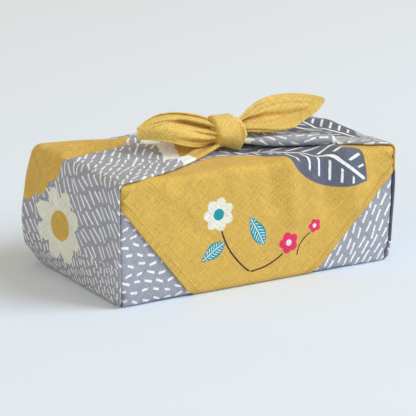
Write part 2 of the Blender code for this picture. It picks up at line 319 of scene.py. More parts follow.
def between(rows: Sequence[Row], steps: int) -> list[Row]:
    """Smoothly interpolates the rows of a table.

    Args:
        rows: The rows of the table, all of one kind.
        steps: How many rows each row turns into.

    Returns:
        The table's rows with the added ones between them.
    """
    filled = []
    last = len(rows) - 1
    for index in range(last):
        around = [rows[min(max(index + k, 0), last)] for k in (-1, 0, 1, 2)]
        for step in range(steps):
            t = step / steps
            weights = (
                (-t + 2 * t**2 - t**3) / 2,
                (2 - 5 * t**2 + 3 * t**3) / 2,
                (t + 4 * t**2 - 3 * t**3) / 2,
                (-(t**2) + t**3) / 2,
            )
            values = (sum(w * v for w, v in zip(weights, column)) for column in zip(*around))
            filled.append(type(rows[0])(*values))
    return filled + [rows[last]]


def even(steps: int) -> tuple[float, ...]:
    """Parts of a run at even steps, from 0 to 1."""
    return tuple(k / steps for k in range(steps + 1))


def square_path(
    corners: Sequence[tuple[float, float]],
    radii: Sequence[float],
    run_parts: Sequence[Sequence[float]],
    bend_steps: int,
) -> list[Station]:
    """Lays stations along straight legs that meet at rounded right angles.

    Args:
        corners: The legs' ends, as if they met at sharp corners.
        radii: The radius of each bend between two legs.
        run_parts: For each leg, the parts of its run at which it has stations.
        bend_steps: How many steps each bend has.

    Returns:
        The stations in order, with the length of path up to each.
    """
    points = [Vector(corner) for corner in corners]
    ways = [(end - start).normalized() for start, end in zip(points, points[1:])]
    last = len(ways) - 1
    stations: list[Station] = []
    gone = 0.0
    for leg, way in enumerate(ways):
        start = points[leg] + way * (radii[leg - 1] if leg > 0 else 0)
        end = points[leg + 1] - way * (radii[leg] if leg < last else 0)
        run = (end - start).length
        for part in run_parts[leg]:
            done = run * part
            behind = done if leg > 0 else math.inf
            ahead = run - done if leg < last else math.inf
            stations.append(Station(start + way * done, way, leg, min(behind, ahead), gone + done))
        gone += run
        if leg == last:
            break
        centre = end + ways[leg + 1] * radii[leg]
        for step in range(1, bend_steps):
            turn = math.pi / 2 * step / bend_steps
            arm = way * math.sin(turn) - ways[leg + 1] * math.cos(turn)
            heading = way * math.cos(turn) + ways[leg + 1] * math.sin(turn)
            stations.append(Station(centre + arm * radii[leg], heading, leg + 0.5, 0.0, gone + turn * radii[leg]))
        gone += math.pi / 2 * radii[leg]
    return stations


def relief(u: float, v: float) -> float:
    """Sums the listed creases at a place on the flat cloth.

    Args:
        u: Distance from the cloth's middle towards its right corner, in mm.
        v: Distance from the cloth's middle towards its far corner, in mm.

    Returns:
        How far the cloth stands out there, in mm.
    """
    out = 0.0
    for crease in CREASES:
        run_u, run_v = crease.to_u - crease.u, crease.to_v - crease.v
        part = ((u - crease.u) * run_u + (v - crease.v) * run_v) / (run_u**2 + run_v**2)
        clamped = min(max(part, 0.0), 1.0)
        gap = math.hypot(u - crease.u - run_u * clamped, v - crease.v - run_v * clamped)
        out += crease.out * hump(0.0, crease.width, gap)
    return out


def settled(place: Vector) -> Vector:
    """Shifts the bundle's ends as its cloth has settled, all layers alike.

    Args:
        place: A point of the cloth as folded.

    Returns:
        The point moved along X.
    """
    spot = place / MM
    shift = 0.0
    for sag in SAGS:
        shift += sag.out * math.prod(smooth(low, high, spot[axis]) for axis, low, high in sag.steps)
    return place + Vector((shift, 0, 0)) * MM


class ClothMesh:
    """A mesh of cloth under construction, which keeps each point's place on the flat square and its edge distance."""

    def __init__(self) -> None:
        """Starts an empty mesh with the two maps that the finish reads."""
        self.bm = bmesh.new()
        self.bm.loops.layers.uv.new("cloth")
        self.bm.loops.layers.uv.new("edge")

    def grid(self, rows: Sequence[Sequence[ClothPoint]]) -> None:
        """Adds faces between rows of points.

        Args:
            rows: The rows, each with the same number of points.
        """
        flat, edge = self.bm.loops.layers.uv["cloth"], self.bm.loops.layers.uv["edge"]
        verts = [[self.bm.verts.new(settled(point.place)) for point in row] for row in rows]
        for index in range(len(rows) - 1):
            for k in range(len(rows[index]) - 1):
                spots = ((index, k), (index, k + 1), (index + 1, k + 1), (index + 1, k))
                face = self.bm.faces.new([verts[row][column] for row, column in spots])
                face.smooth = True
                for loop, (row, column) in zip(face.loops, spots):
                    loop[flat].uv = rows[row][column].flat
                    loop[edge].uv = (rows[row][column].edge, 0.0)

    def finish(self, name: str, thickness: Optional[float] = None) -> bpy.types.Object:
        """Welds the mesh and makes it an object.

        Args:
            name: The object's name.
            thickness: The cloth's thickness, or None for a closed form.

        Returns:
            The new object.
        """
        bmesh.ops.remove_doubles(self.bm, verts=self.bm.verts, dist=WELD)
        bmesh.ops.recalc_face_normals(self.bm, faces=self.bm.faces)
        mesh = bpy.data.meshes.new(name)
        self.bm.to_mesh(mesh)
        self.bm.free()
        made = bpy.data.objects.new(name, mesh)
        bpy.context.scene.collection.objects.link(made)
        if thickness:
            solidify = made.modifiers.new("cloth thickness", "SOLIDIFY")
            solidify.thickness = thickness
            solidify.offset = 0
        return made


@dataclass(frozen=True)
class Bundle:
    """Sizes of the tied bundle and the levels of its layers of cloth, in metres.

    Attributes:
        end_out: Distance of the end strips' middle layer from the bundle's middle.
        end_far: Distance of the far arm's wrapped sides.
        end_near: Distance of the near arm's wrapped sides.
        side_out: Distance of the outer front and back from the middle.
        side_in: Distance of the inner front and back from the middle.
        top_out: Height of the outer top.
        top_in: Height of the inner top.
        floor: Height of the base panel's middle layer.
        wall_half: Half width of the flat part of the front, back and top.
        base_half: Half length of the flat part of the base.
    """

    length: float = 195 * MM
    width: float = 111 * MM
    height: float = 75 * MM
    cloth: float = 0.5 * MM
    pitch: float = 0.7 * MM
    top_bend: float = 3.0 * MM
    foot_bend: float = 3.0 * MM
    back_foot_bend: float = 3.5 * MM
    corner_bend: float = 1.6 * MM
    strip_foot_bend: float = 3.5 * MM
    strip_top_bend: float = 5.0 * MM
    strip_top: float = 76.4 * MM
    base_rows: int = 40
    bend_steps: int = 4
    end_out: float = length / 2 - cloth / 2
    end_far: float = end_out - 2 * pitch
    end_near: float = end_out - 3 * pitch
    side_out: float = width / 2 - cloth / 2
    side_in: float = side_out - pitch
    top_out: float = height - cloth / 2
    top_in: float = top_out - pitch
    floor: float = cloth / 2
    wall_half: float = end_near - corner_bend
    base_half: float = end_out - strip_foot_bend


@dataclass(frozen=True)
class LongStrip:
    """The near arm, the base panel and the far arm: the cloth from its near corner to its far one.

    Attributes:
        hem_columns: Distances from the edge at which a row has its last points.
        inner_steps: Steps of each leg before the base.
        outer_steps: Steps of each leg after the base.
        relief_foot: Heights between which creases and hems fade in above the foot.
    """

    bundle: Bundle
    hem_left_top: float = 62 * MM
    hem_left_foot: float = 48.7 * MM
    hem_right_top: float = 60 * MM
    hem_right_foot: float = 39.2 * MM
    hem_slant: float = 0.75
    hem_width: float = 4.6 * MM
    hem_ramp: float = 0.6 * MM
    hem_rise: float = 0.45 * MM
    hem_columns: tuple[float, ...] = (8.0 * MM, 7.0 * MM, 6.2 * MM, 5.4 * MM, 1.0 * MM, 0.0)
    tuck_depth: float = 40 * MM
    near_end_height: float = 3 * MM
    near_end_half: float = 40 * MM
    wrap_depth: float = 36 * MM
    mitre_start: float = 0.87
    mitre: float = 0.9
    lift_clear: float = 18 * MM
    lift_fade: float = 8 * MM
    lift_height: float = 12 * MM
    push_full: float = 12 * MM
    push_full_top: float = 38 * MM
    push_top: float = 50 * MM
    relief_foot: tuple[float, float] = (2 * MM, 9 * MM)
    relief_corner: float = 10 * MM
    wall_columns: int = 36
    wrap_columns: int = 4
    inner_steps: tuple[int, ...] = (4, 6, 20)
    outer_steps: tuple[int, ...] = (28, 44, 36, 6)

    def stations(self) -> list[Station]:
        """Lays the strip's middle line.

        Returns:
            Its stations, in the plane of Y and Z.
        """
        b = self.bundle
        corners = (
            (b.side_in, self.near_end_height),
            (b.side_in, b.top_in),
            (-b.side_in, b.top_in),
            (-b.side_in, b.floor),
            (b.side_out, b.floor),
            (b.side_out, b.top_out),
            (-b.side_out, b.top_out),
            (-b.side_out, b.floor),
            (-b.side_out + self.tuck_depth, b.floor),
        )
        top_out_bend = b.top_bend + b.pitch
        inner_radii = (b.top_bend, b.top_bend, b.foot_bend)
        outer_radii = (b.back_foot_bend, top_out_bend, top_out_bend, b.foot_bend + b.pitch)
        parts = [even(steps) for steps in (*self.inner_steps, b.base_rows, *self.outer_steps)]
        return square_path(corners, inner_radii + outer_radii, parts, b.bend_steps)

    def bend(self, station: Station) -> float:
        """Radius of the upright corners, where the outer layers go round the inner ones."""
        return self.bundle.corner_bend + (self.bundle.pitch if station.leg > Leg.BASE else 0)

    def hem_half(self, station: Station, side: Side) -> float:
        """Half width that the cloth's own hems leave.

        Args:
            station: The station on the middle line.
            side: The side of the middle line.

        Returns:
            The half width there, or infinity where no hem is.
        """
        b = self.bundle
        y, z = station.point
        if station.leg == Leg.INNER_BACK:
            return min(self.near_end_half + (z - self.near_end_height), b.wall_half)
        if station.leg < Leg.FLAP:
            return math.inf
        left = side is Side.LEFT
        foot = self.hem_left_foot if left else self.hem_right_foot
        top = self.hem_left_top if left else self.hem_right_top
        if station.leg == Leg.FLAP:
            return foot + (b.length / 2 - foot) * z / top
        return foot * min(1.0, (self.tuck_depth - b.side_out - y) / self.tuck_depth)

    def full_half(self, station: Station) -> float:
        """Half width round the upright corners, mitred where the strip bends.

        Args:
            station: The station on the middle line.

        Returns:
            The half width there.
        """
        b = self.bundle
        if station.leg == Leg.BASE:
            return b.base_half
        bend = self.bend(station)
        around = bend * math.pi / 2 + self.wrap_depth
        return b.wall_half + min(around, self.mitre_start * bend + self.mitre * station.to_bend)

    def corner_push(self, station: Station) -> float:
        """Widens the inner front below the flap's own corners.

        Args:
            station: The station on the middle line.

        Returns:
            How far it stands out sideways there.
        """
        if station.leg != Leg.INNER_FRONT:
            return 0.0
        z = station.point[1]
        rise = smooth(self.bundle.floor + self.bundle.foot_bend, self.push_full, z)
        return self.bundle.pitch * rise * smooth(self.push_top, self.push_full_top, z)

    def tip_lift(self, place: Vector) -> float:
        """Height that the tucked tip adds to the cloth that lies on it.

        Args:
            place: A place on the base or the inner front.

        Returns:
            The added height.
        """
        b = self.bundle
        foot = self.hem_left_foot if place.x < 0 else self.hem_right_foot
        beside = abs(place.x) - foot * (1 - (place.y + b.side_out) / self.tuck_depth)
        level = 1 - smooth(self.lift_clear, self.lift_clear + self.lift_fade, beside * math.sqrt(0.5))
        start = b.floor + b.foot_bend
        return b.pitch * level * (1 - smooth(start, start + self.lift_height, place.z))

    def point(self, station: Station, across: float, limit: float, course: Course) -> ClothPoint:
        """Places one point of the strip.

        Args:
            station: The station on the middle line.
            across: Distance from the middle line, negative to the left.
            limit: Half width of the strip on that side.
            course: Lengths along the strip.

        Returns:
            The point with its place on the flat cloth.
        """
        b = self.bundle
        bend = self.bend(station)
        end_plane = b.end_far if station.leg > Leg.BASE else b.end_near
        y, z = station.point
        inward = Vector((-station.way[1], station.way[0]))
        beyond = abs(across) - b.wall_half
        side = math.copysign(1.0, across)
        x, inset = across, 0.0
        if station.leg != Leg.BASE and beyond > 0:
            turn = min(beyond / bend, math.pi / 2)
            x = side * (end_plane - bend + bend * math.sin(turn))
            inset = bend * (1 - math.cos(turn)) + max(beyond - bend * math.pi / 2, 0.0)
        x += side * self.corner_push(station) * min(abs(across) / b.wall_half, 1.0)
        flat = (across, station.gone - course.middle)
        edge = FAR_FROM_EDGE
        over = course.cover if station.leg < Leg.BASE else 0.0
        above_foot = smooth(*self.relief_foot, z)
        off_corner = smooth(b.wall_half, b.wall_half - self.relief_corner, abs(across))
        out = relief(across / MM, (flat[1] + over) / MM) * MM * off_corner * above_foot
        if Leg.INNER_FRONT <= station.leg <= Leg.BASE:
            z += self.tip_lift(Vector((x, y, z)))
        if station.leg >= Leg.FLAP:
            edge = (limit - abs(across)) * self.hem_slant
            out += self.hem_rise * smooth(self.hem_width + self.hem_ramp, self.hem_width, edge) * above_foot
        return ClothPoint(Vector((x, y + inward[0] * (inset - out), z + inward[1] * (inset - out))), flat, edge)

    def row(self, station: Station, course: Course) -> list[ClothPoint]:
        """One row of points across the strip.

        Args:
            station: The station on the middle line.
            course: Lengths along the strip.

        Returns:
            The points from left to right.
        """
        b = self.bundle
        flat = b.base_half if station.leg == Leg.BASE else b.wall_half
        quarter = self.bend(station) * math.pi / 2
        steps = [flat * k / self.wall_columns for k in range(1, self.wall_columns + 1)]
        steps += [flat + quarter * k / b.bend_steps for k in range(1, b.bend_steps + 1)]
        steps += [flat + quarter + self.wrap_depth * k / self.wrap_columns for k in range(1, self.wrap_columns + 1)]
        halves = []
        for side in Side:
            limit = max(min(self.full_half(station), self.hem_half(station, side)), 0.0)
            inner = max(limit - self.hem_columns[0], 0.0)
            places = [min(step, inner) for step in steps] + [max(limit - gap, 0.0) for gap in self.hem_columns]
            halves.append([self.point(station, side * place, limit, course) for place in places])
        centre = self.point(station, 0.0, FAR_FROM_EDGE if station.leg < Leg.TIP else 0.0, course)
        return halves[0][::-1] + [centre] + halves[1]

    def build(self, cloth: ClothMesh) -> None:
        """Adds the strip to the cloth's mesh.

        Args:
            cloth: The mesh.
        """
        stations = self.stations()
        lengths = {leg: [station.gone for station in stations if station.leg == leg] for leg in Leg}
        middle = (lengths[Leg.BASE][0] + lengths[Leg.BASE][-1]) / 2
        course = Course(middle, lengths[Leg.FLAP][0] - lengths[Leg.INNER_FRONT][0])
        cloth.grid([self.row(station, course) for station in stations])


@dataclass(frozen=True)
class EndStrip:
    """One side arm: up an end, across the top and into the knot, with its long edges folded under.

    Attributes:
        open_height: Height over which the strip widens above its foot.
        corner_gap: How far its front edge stands back from the corner above gap_heights.
        crown_front: Place across at which the loose height of a row starts.
        crown_top: Place across at which the loose height is full.
        pleat_second: Size, turns and phase of the second wave of pleats, against the first.
        pleat_edge: Place across at which the pleats start, full at pleat_core.
        pleat_end: Distance from the middle at which the pleats start, full at pleat_full.
        bulge_foot: Heights between which the bulges fade in.
        bulge_top: Distances from the middle between which the bulges fade in.
        crease_foot: Heights between which the creases fade in.
        crease_edge: Place across from which the creases fade out.
    """

    bundle: Bundle
    side: Side
    table: tuple[StripRow, ...]
    bulges: tuple[Bulge, ...]
    row_steps: int = 8
    wall_rows: int = 36
    open_height: float = 2.4
    corner_gap: float = 0.0
    gap_heights: tuple[float, float] = (48.0, 64.0)
    under_depth: float = 46.0
    under_share: float = 0.94
    under_start: float = 2.2
    under_steps: int = 6
    roll_steps: int = 6
    roll_start: float = -0.55
    crown_front: float = -0.4
    crown_top: float = 0.35
    pleats: int = 7
    pleat_height: float = 0.75
    pleat_second: tuple[float, float, float] = (0.5, 1.7, 1.0)
    pleat_edge: float = 0.8
    pleat_core: float = 0.3
    pleat_end: float = 60.0
    pleat_full: float = 18.0
    bulge_foot: tuple[float, float] = (4.0, 15.0)
    bulge_top: tuple[float, float] = (78.0, 92.0)
    crease_foot: tuple[float, float] = (4.0, 14.0)
    crease_edge: float = 0.9
    gathered_half: float = 30.0

    def rows(self) -> list[tuple[StripRow, Vector, float]]:
        """Lays the strip's rows from the base's edge to the knot.

        Returns:
            Each row with its outward way and the length of cloth up to it.
        """
        b = self.bundle
        corners = (
            (b.base_half, b.floor),
            (b.end_out, b.floor),
            (b.end_out, b.strip_top),
            (self.table[0].x * MM + b.cloth, b.strip_top),
        )
        parts = ((0,), even(self.wall_rows), (0,))
        wall = square_path(corners, (b.strip_foot_bend, b.strip_top_bend), parts, b.bend_steps + 2)
        roll = b.pitch / 2 / MM
        edge = (b.side_out - b.pitch / 2) / MM
        foot_front = (b.side_in - b.foot_bend) / MM
        foot_back = (b.side_out - b.back_foot_bend) / MM
        rows = []
        for station in wall:
            x, z = station.point / MM
            opened = math.sqrt(min((z - b.floor / MM) / self.open_height, 1.0))
            front = foot_front + (edge - foot_front) * opened - self.corner_gap * smooth(*self.gap_heights, z)
            back = foot_back + (edge - foot_back) * opened
            rows.append(StripRow(x, z, front, back, 0.0, roll))
        rows += between(self.table, self.row_steps)
        found = []
        gone = b.base_half
        for index, row in enumerate(rows):
            before = rows[max(index - 1, 0)]
            after = rows[min(index + 1, len(rows) - 1)]
            heading = Vector((after.x - before.x, after.z - before.z)).normalized() if index else Vector((1, 0))
            gone += math.hypot(row.x - before.x, row.z - before.z) * MM
            found.append((row, Vector((heading[1] * self.side, 0, -heading[0])), gone))
        return found

    def surface(self, found: tuple[StripRow, Vector, float], v: float, layer: float = 0.0) -> ClothPoint:
        """Places a point of the strip before its edges are rolled.

        Args:
            found: A row with its outward way and length.
            v: Place across the strip, from -1 at its front edge to 1 at its back edge.
            layer: How far the point is moved outwards, in mm.

        Returns:
            The point with its place on the flat cloth.
        """
        row, out, gone = found
        half, middle = (row.back + row.front) / 2, (row.back - row.front) / 2
        y = middle + v * half
        flat_v = middle + v * max(half, self.gathered_half)
        flat_u = self.side * gone / MM
        stand = row.crown * smooth(self.crown_front, self.crown_top, v) * smooth(1.0, self.crown_top, v)
        gathered = smooth(self.pleat_end, self.pleat_full, row.x) * smooth(self.pleat_edge, self.pleat_core, abs(v))
        wave = self.pleats * math.pi * v
        size, turns, phase = self.pleat_second
        stand += self.pleat_height * (math.cos(wave) + size * math.cos(turns * wave + phase)) * gathered
        on_wall = smooth(*self.bulge_foot, row.z) * smooth(*self.bulge_top, row.x)
        for bulge in self.bulges:
            stand += bulge.out * hump(bulge.y, bulge.reach_y, y) * hump(bulge.z, bulge.reach_z, row.z) * on_wall
        inside = smooth(1.0, self.crease_edge, abs(v)) * smooth(*self.crease_foot, row.z)
        stand += relief(flat_u, flat_v) * inside
        place = Vector((self.side * row.x, y, row.z)) * MM + out * (stand + layer) * MM
        return ClothPoint(place, (flat_u * MM, flat_v * MM), FAR_FROM_EDGE)

    def folded_edge(self, rows: list[tuple[StripRow, Vector, float]], edge: int) -> list[list[ClothPoint]]:
        """Rolls one long edge under the strip.

        Args:
            rows: The strip's rows.
            edge: -1 for the front edge, 1 for the back edge.

        Returns:
            Rows of points round the roll and back under the strip.
        """
        pitch = self.bundle.pitch / MM
        rims = [self.surface(found, edge).place for found in rows]
        folded = []
        for index, found in enumerate(rows):
            row, out, _ = found
            if row.z < self.under_start:
                continue
            radius = (row.roll if edge < 0 else pitch / 2) * MM
            centre = rims[index] + out * (radius - pitch * MM)
            along = rims[min(index + 1, len(rims) - 1)] - rims[index - 1]
            sideways = along.cross(out).normalized()
            sideways *= math.copysign(1.0, sideways.y * edge)
            rim_flat = self.surface(found, edge).flat
            points = []
            for step in range(self.roll_steps + 1):
                turn = math.pi * step / self.roll_steps
                place = centre + (out * math.cos(turn) + sideways * math.sin(turn)) * radius
                points.append(ClothPoint(place, (rim_flat[0], rim_flat[1] + edge * radius * turn), FAR_FROM_EDGE))
            half = (row.back + row.front) / 2
            depth = min(self.under_depth, self.under_share * half)
            for step in range(1, self.under_steps + 1):
                gap = depth * step / self.under_steps
                under = self.surface(found, edge * (1 - gap / half), -pitch)
                flat = (rim_flat[0], rim_flat[1] + edge * (math.pi * radius + gap * MM))
                points.append(ClothPoint(under.place, flat, FAR_FROM_EDGE))
            folded.append(points)
        return folded

    def build(self, cloth: ClothMesh) -> None:
        """Adds the strip to the cloth's mesh.

        Args:
            cloth: The mesh.
        """
        rows = self.rows()
        half_pitch = self.bundle.pitch / 2 / MM
        columns = [-1 + 2 * part for part in even(self.bundle.base_rows)]
        surface = []
        for found in rows:
            lift = 2 * (found[0].roll - half_pitch)
            surface.append([self.surface(found, v, lift * smooth(self.roll_start, -1.0, v)) for v in columns])
        cloth.grid(surface)
        for edge in (-1, 1):
            cloth.grid(self.folded_edge(rows, edge))


@dataclass(frozen=True)
class WrapSheet:
    """The whole folded sheet up to the knot."""

    bundle: Bundle
    right_corner_gap: float = 0.8

    def build(self) -> bpy.types.Object:
        """Builds the sheet with its real thickness.

        Returns:
            The sheet.
        """
        cloth = ClothMesh()
        LongStrip(self.bundle).build(cloth)
        EndStrip(self.bundle, Side.LEFT, LEFT_STRIP, LEFT_BULGES).build(cloth)
        EndStrip(self.bundle, Side.RIGHT, RIGHT_STRIP, RIGHT_BULGES, corner_gap=self.right_corner_gap).build(cloth)
        return cloth.finish("folded_sheet", self.bundle.cloth)


@dataclass(frozen=True)
class FreeEnd:
    """One of the knot's free ends: a hemmed leaf of cloth, pleated where it leaves the knot.

    Attributes:
        side_slant: Distance from a side edge for each mm across the leaf.
        tip_slant: Distance from the tip's edge for each mm along the leaf.
        rim: Place across from which the edge curls, by rim_curl in all.
        rim_root: Distance from the knot over which the curl grows.
        rim_tip: Distance from the tip over which the curl fades.
        crease_open: Share of its width that a crease has at its start, and gains by its end.
        crease_tip: Distance from the tip over which a crease fades.
        flat_start: Place on the flat cloth at which the leaf leaves the knot.
    """

    side: Side
    table: tuple[TailRow, ...]
    creases: tuple[TailCrease, ...]
    cloth: float = 0.6 * MM
    row_steps: int = 9
    columns: int = 48
    side_slant: float = 0.9
    tip_slant: float = 0.7
    hem_width: float = 4.6
    hem_ramp: float = 0.6
    hem_rise: float = 0.25
    rim: float = 0.86
    rim_curl: float = 1.0
    rim_root: float = 20.0
    rim_tip: float = 16.0
    crease_open: float = 0.6
    crease_fade: float = 9.0
    crease_tip: float = 14.0
    flat_start: float = 262.0

    def point(self, row: TailRow, v: float) -> ClothPoint:
        """Places one point of the leaf.

        Args:
            row: The row across the leaf.
            v: Place across it, from -1 at its low edge to 1 at its high edge.

        Returns:
            The point with its place on the flat cloth.
        """
        half = (row.high - row.low) / 2
        gone = abs(row.x - self.table[0].x)
        to_tip = abs(self.table[-1].x - row.x)
        edge = min((1 - abs(v)) * half * self.side_slant, to_tip * self.tip_slant)
        rolled = smooth(self.rim, 1.0, abs(v)) * smooth(0.0, self.rim_root, gone) * smooth(0.0, self.rim_tip, to_tip)
        out = self.hem_rise * smooth(self.hem_width + self.hem_ramp, self.hem_width, edge)
        for crease in self.creases:
            part = min(max((gone - crease.gone) / (crease.to_gone - crease.gone), 0.0), 1.0)
            beyond = max(crease.gone - gone, gone - crease.to_gone, 0.0)
            width = crease.width * self.crease_open * (1 + part)
            across = hump(crease.v + part * (crease.to_v - crease.v), width, v)
            out += crease.out * across * hump(0.0, self.crease_fade, beyond) * smooth(0.0, self.crease_tip, to_tip)
        y = row.y - row.curl * (1 - v * v) + row.lean * v - out - math.copysign(self.rim_curl, row.curl) * rolled
        z = (row.low + row.high) / 2 + v * half
        flat = (self.side * (self.flat_start + gone) * MM, v * half * MM)
        return ClothPoint(Vector((row.x, y, z)) * MM, flat, edge * MM)

    def build(self) -> bpy.types.Object:
        """Builds the leaf with its real thickness.

        Returns:
            The leaf.
        """
        cloth = ClothMesh()
        columns = [-1 + 2 * part for part in even(self.columns)]
        cloth.grid([[self.point(row, v) for v in columns] for row in between(self.table, self.row_steps)])
        return cloth.finish(f"free_end_{self.side.name.lower()}", self.cloth)


@dataclass(frozen=True)
class Knot:
    """The knot itself: a pleated core with the last turn of cloth wound over it as a band of stepped layers.

    Attributes:
        rest: The lowest level that the knot reaches, on the strips below it.
        core_power: How square the core's ends are, rounder towards 2.
        core_pleats_on: Places along the core between which its pleats grow.
        core_pleats_off: Places along the core between which its pleats end.
        band_layers: Places along the band of its layers' edges, which draw to band_meet at the top and underside.
        band_meeting: How much of the way they draw together.
        step_width: Length of band over which an edge steps down.
        groove: Place, beside an edge, and width of the groove along it.
        lip: Height, place and width of the ridge along an edge.
        wobble: Height, lobes and twist of the band's unevenness, which grows between wobble_on.
        rise_on: Places along the band between which its underside is raised by band_rise.
        tuck: Place and width of the fullness of height band_tuck on the band's underside.
    """

    middle: tuple[float, float, float] = (2.2, -10.8, 85.8)
    rest: float = 75.0
    core_half: float = 12.5
    core_radius: float = 8.6
    core_power: float = 3.2
    core_pleats: int = 7
    core_pleat_height: float = 0.7
    core_pleats_on: tuple[float, float] = (0.2, 0.7)
    core_pleats_off: tuple[float, float] = (1.0, 0.9)
    core_twist: float = 1.5
    band_half: float = 11.8
    band_radius: float = 11.3
    band_shift: float = 0.8
    band_left_power: float = 9.0
    band_right_power: float = 2.6
    band_layers: tuple[float, ...] = (0.38, 0.56, 0.73)
    band_meet: float = 0.30
    band_meeting: float = 0.9
    band_step: float = 0.8
    step_width: float = 0.04
    band_groove: float = 1.7
    groove: tuple[float, float] = (0.02, 0.035)
    groove_fade: float = 0.8
    lip: tuple[float, float, float] = (0.3, -0.06, 0.05)
    wobble: tuple[float, float, float] = (0.35, 3.0, 4.0)
    wobble_on: tuple[float, float] = (-0.2, -0.9)
    band_rise: float = 4.2
    rise_on: tuple[float, float] = (0.3, -0.9)
    band_tuck: float = 2.2
    tuck: tuple[float, float] = (0.4, 0.3)
    lean: float = 0.12
    around: int = 96
    along: int = 150
    flat_u: float = 285.0

    def ring(self, s: float, radius: Callable[[float], float], half: float, shift: float) -> list[ClothPoint]:
        """One closed row of points round the knot.

        Args:
            s: Place along the knot, from -1 to 1.
            radius: The radius at an angle round the knot, in mm.
            half: Half length of the form.
            shift: How far the form's middle is moved along X.

        Returns:
            The points round the ring, the last on the first.
        """
        x0, y0, z0 = self.middle
        points = []
        for k in range(self.around + 1):
            turn = 2 * math.pi * k / self.around
            reach = radius(turn)
            y, z = reach * math.cos(turn), reach * math.sin(turn)
            x = x0 + shift + s * half - self.lean * z
            flat = ((self.flat_u + s * half) * MM, (turn - math.pi) * self.band_radius * MM)
            points.append(ClothPoint(Vector((x, y0 + y, max(z0 + z, self.rest))) * MM, flat, FAR_FROM_EDGE))
        return points

    def core_radius_at(self, s: float) -> Callable[[float], float]:
        """Sets the core's radius, pleated more towards its ends.

        Args:
            s: Place along the core, from -1 to 1.

        Returns:
            The radius at an angle round the ring.
        """
        girth = (1 - abs(s) ** self.core_power) ** (1 / self.core_power) * self.core_radius
        shown = smooth(*self.core_pleats_on, abs(s)) * smooth(*self.core_pleats_off, abs(s))
        height = self.core_pleat_height * shown
        return lambda turn: girth + height * math.cos(self.core_pleats * turn + self.core_twist * s)

    def band_radius_at(self, s: float) -> Callable[[float], float]:
        """Sets the band's radius, lower by a step at each layer's edge on its right.

        Args:
            s: Place along the band, from -1 to 1.

        Returns:
            The radius at an angle round the ring.
        """
        power = self.band_left_power if s < 0 else self.band_right_power
        girth = (1 - abs(s) ** power) ** (1 / power) * self.band_radius
        height, lobes, twist = self.wobble
        lip, lip_place, lip_width = self.lip

        def radius(turn: float) -> float:
            """Works out one radius.

            Args:
                turn: The angle round the ring.

            Returns:
                The radius there, in mm.
            """
            meet = self.band_meeting * math.sin(turn) ** 2
            reach = girth + height * math.sin(lobes * turn + twist * s) * smooth(*self.wobble_on, s)
            for edge in self.band_layers:
                past = s - edge + (edge - self.band_meet) * meet
                reach -= self.band_step * smooth(0.0, self.step_width, past)
                reach -= self.band_groove * hump(*self.groove, past) * (1 - self.groove_fade * meet)
                reach += lip * hump(lip_place, lip_width, past) * (1 - meet)
            below = max(0.0, -math.sin(turn))
            reach -= self.band_rise * below * smooth(*self.rise_on, s)
            return reach + self.band_tuck * below * hump(*self.tuck, s)

        return radius

    def build(self) -> bpy.types.Object:
        """Builds the core and the band as one piece of overlapping closed forms.

        Returns:
            The knot.
        """
        cloth = ClothMesh()
        rows = [-math.cos(math.pi * part) for part in even(self.along)]
        cloth.grid([self.ring(s, self.core_radius_at(s), self.core_half, 0.0) for s in rows])
        cloth.grid([self.ring(s, self.band_radius_at(s), self.band_half, self.band_shift) for s in rows])
        return cloth.finish("knot")


Value = Union["Term", float]


@dataclass(frozen=True)
class Term:
    """A number in a finish's formula: one output of one node."""

    tree: bpy.types.NodeTree
    socket: bpy.types.NodeSocket

    def op(self, operation: str, *others: Value) -> "Term":
        """Puts this number through a Math node.

        Args:
            operation: The node's operation.
            others: The other numbers that it takes.

        Returns:
            The result.
        """
        node = self.tree.nodes.new("ShaderNodeMath")
        node.operation = operation
        for slot, value in zip(node.inputs, (self, *others)):
            plug(self.tree, slot, value)
        return Term(self.tree, node.outputs[0])

    __add__ = partialmethod(op, "ADD")
    __sub__ = partialmethod(op, "SUBTRACT")
    __mul__ = partialmethod(op, "MULTIPLY")
    __truediv__ = partialmethod(op, "DIVIDE")
    magnitude = partialmethod(op, "ABSOLUTE")
    fraction = partialmethod(op, "FRACT")

    def flipped(self) -> "Term":
        """One less this number."""
        return self.op("MULTIPLY_ADD", -1.0, 1.0)

    def step(self, low: float, high: float) -> "Term":
        """A soft step.

        Args:
            low: The value at which the step is 0.
            high: The value at which the step is 1, which may be below low.

        Returns:
            The step's height.
        """
        node = self.tree.nodes.new("ShaderNodeMapRange")
        node.interpolation_type = "SMOOTHSTEP"
        plug(self.tree, node.inputs["Value"], self)
        node.inputs["From Min"].default_value = low
        node.inputs["From Max"].default_value = high
        return Term(self.tree, node.outputs["Result"])


def plug(tree: bpy.types.NodeTree, slot: bpy.types.NodeSocket, value: Value) -> None:
    """Links or sets a node's input.

    Args:
        tree: The material's node tree.
        slot: The input.
        value: A number of the formula, or a plain one.
    """
    if isinstance(value, Term):
        tree.links.new(value.socket, slot)
    else:
        slot.default_value = value


def linear(red: int, green: int, blue: int) -> tuple[float, float, float, float]:
    """Turns a colour as a screen shows it, 0 to 255, into the one that a shader takes."""
    parts = [c / 255 for c in (red, green, blue)]
    return (*[c / 12.92 if c <= 0.04045 else ((c + 0.055) / 1.055) ** 2.4 for c in parts], 1.0)


class Ink(Enum):
    """The print's colours, with a lighter copy of mustard that is painted highlight."""

    GREY = linear(156, 159, 175)
    WHITE = linear(236, 239, 242)
    MUSTARD = linear(210, 173, 86)
    # a lighter copy of MUSTARD: painted highlight on the free ends and the knot, which face the light
    MUSTARD_PAINTED_HIGHLIGHT = linear(220, 187, 104)
    SLATE = linear(98, 102, 122)
    IVORY = linear(226, 228, 218)
    TEAL = linear(26, 148, 166)
    PINK = linear(222, 48, 104)
    BROWN = linear(58, 36, 48)


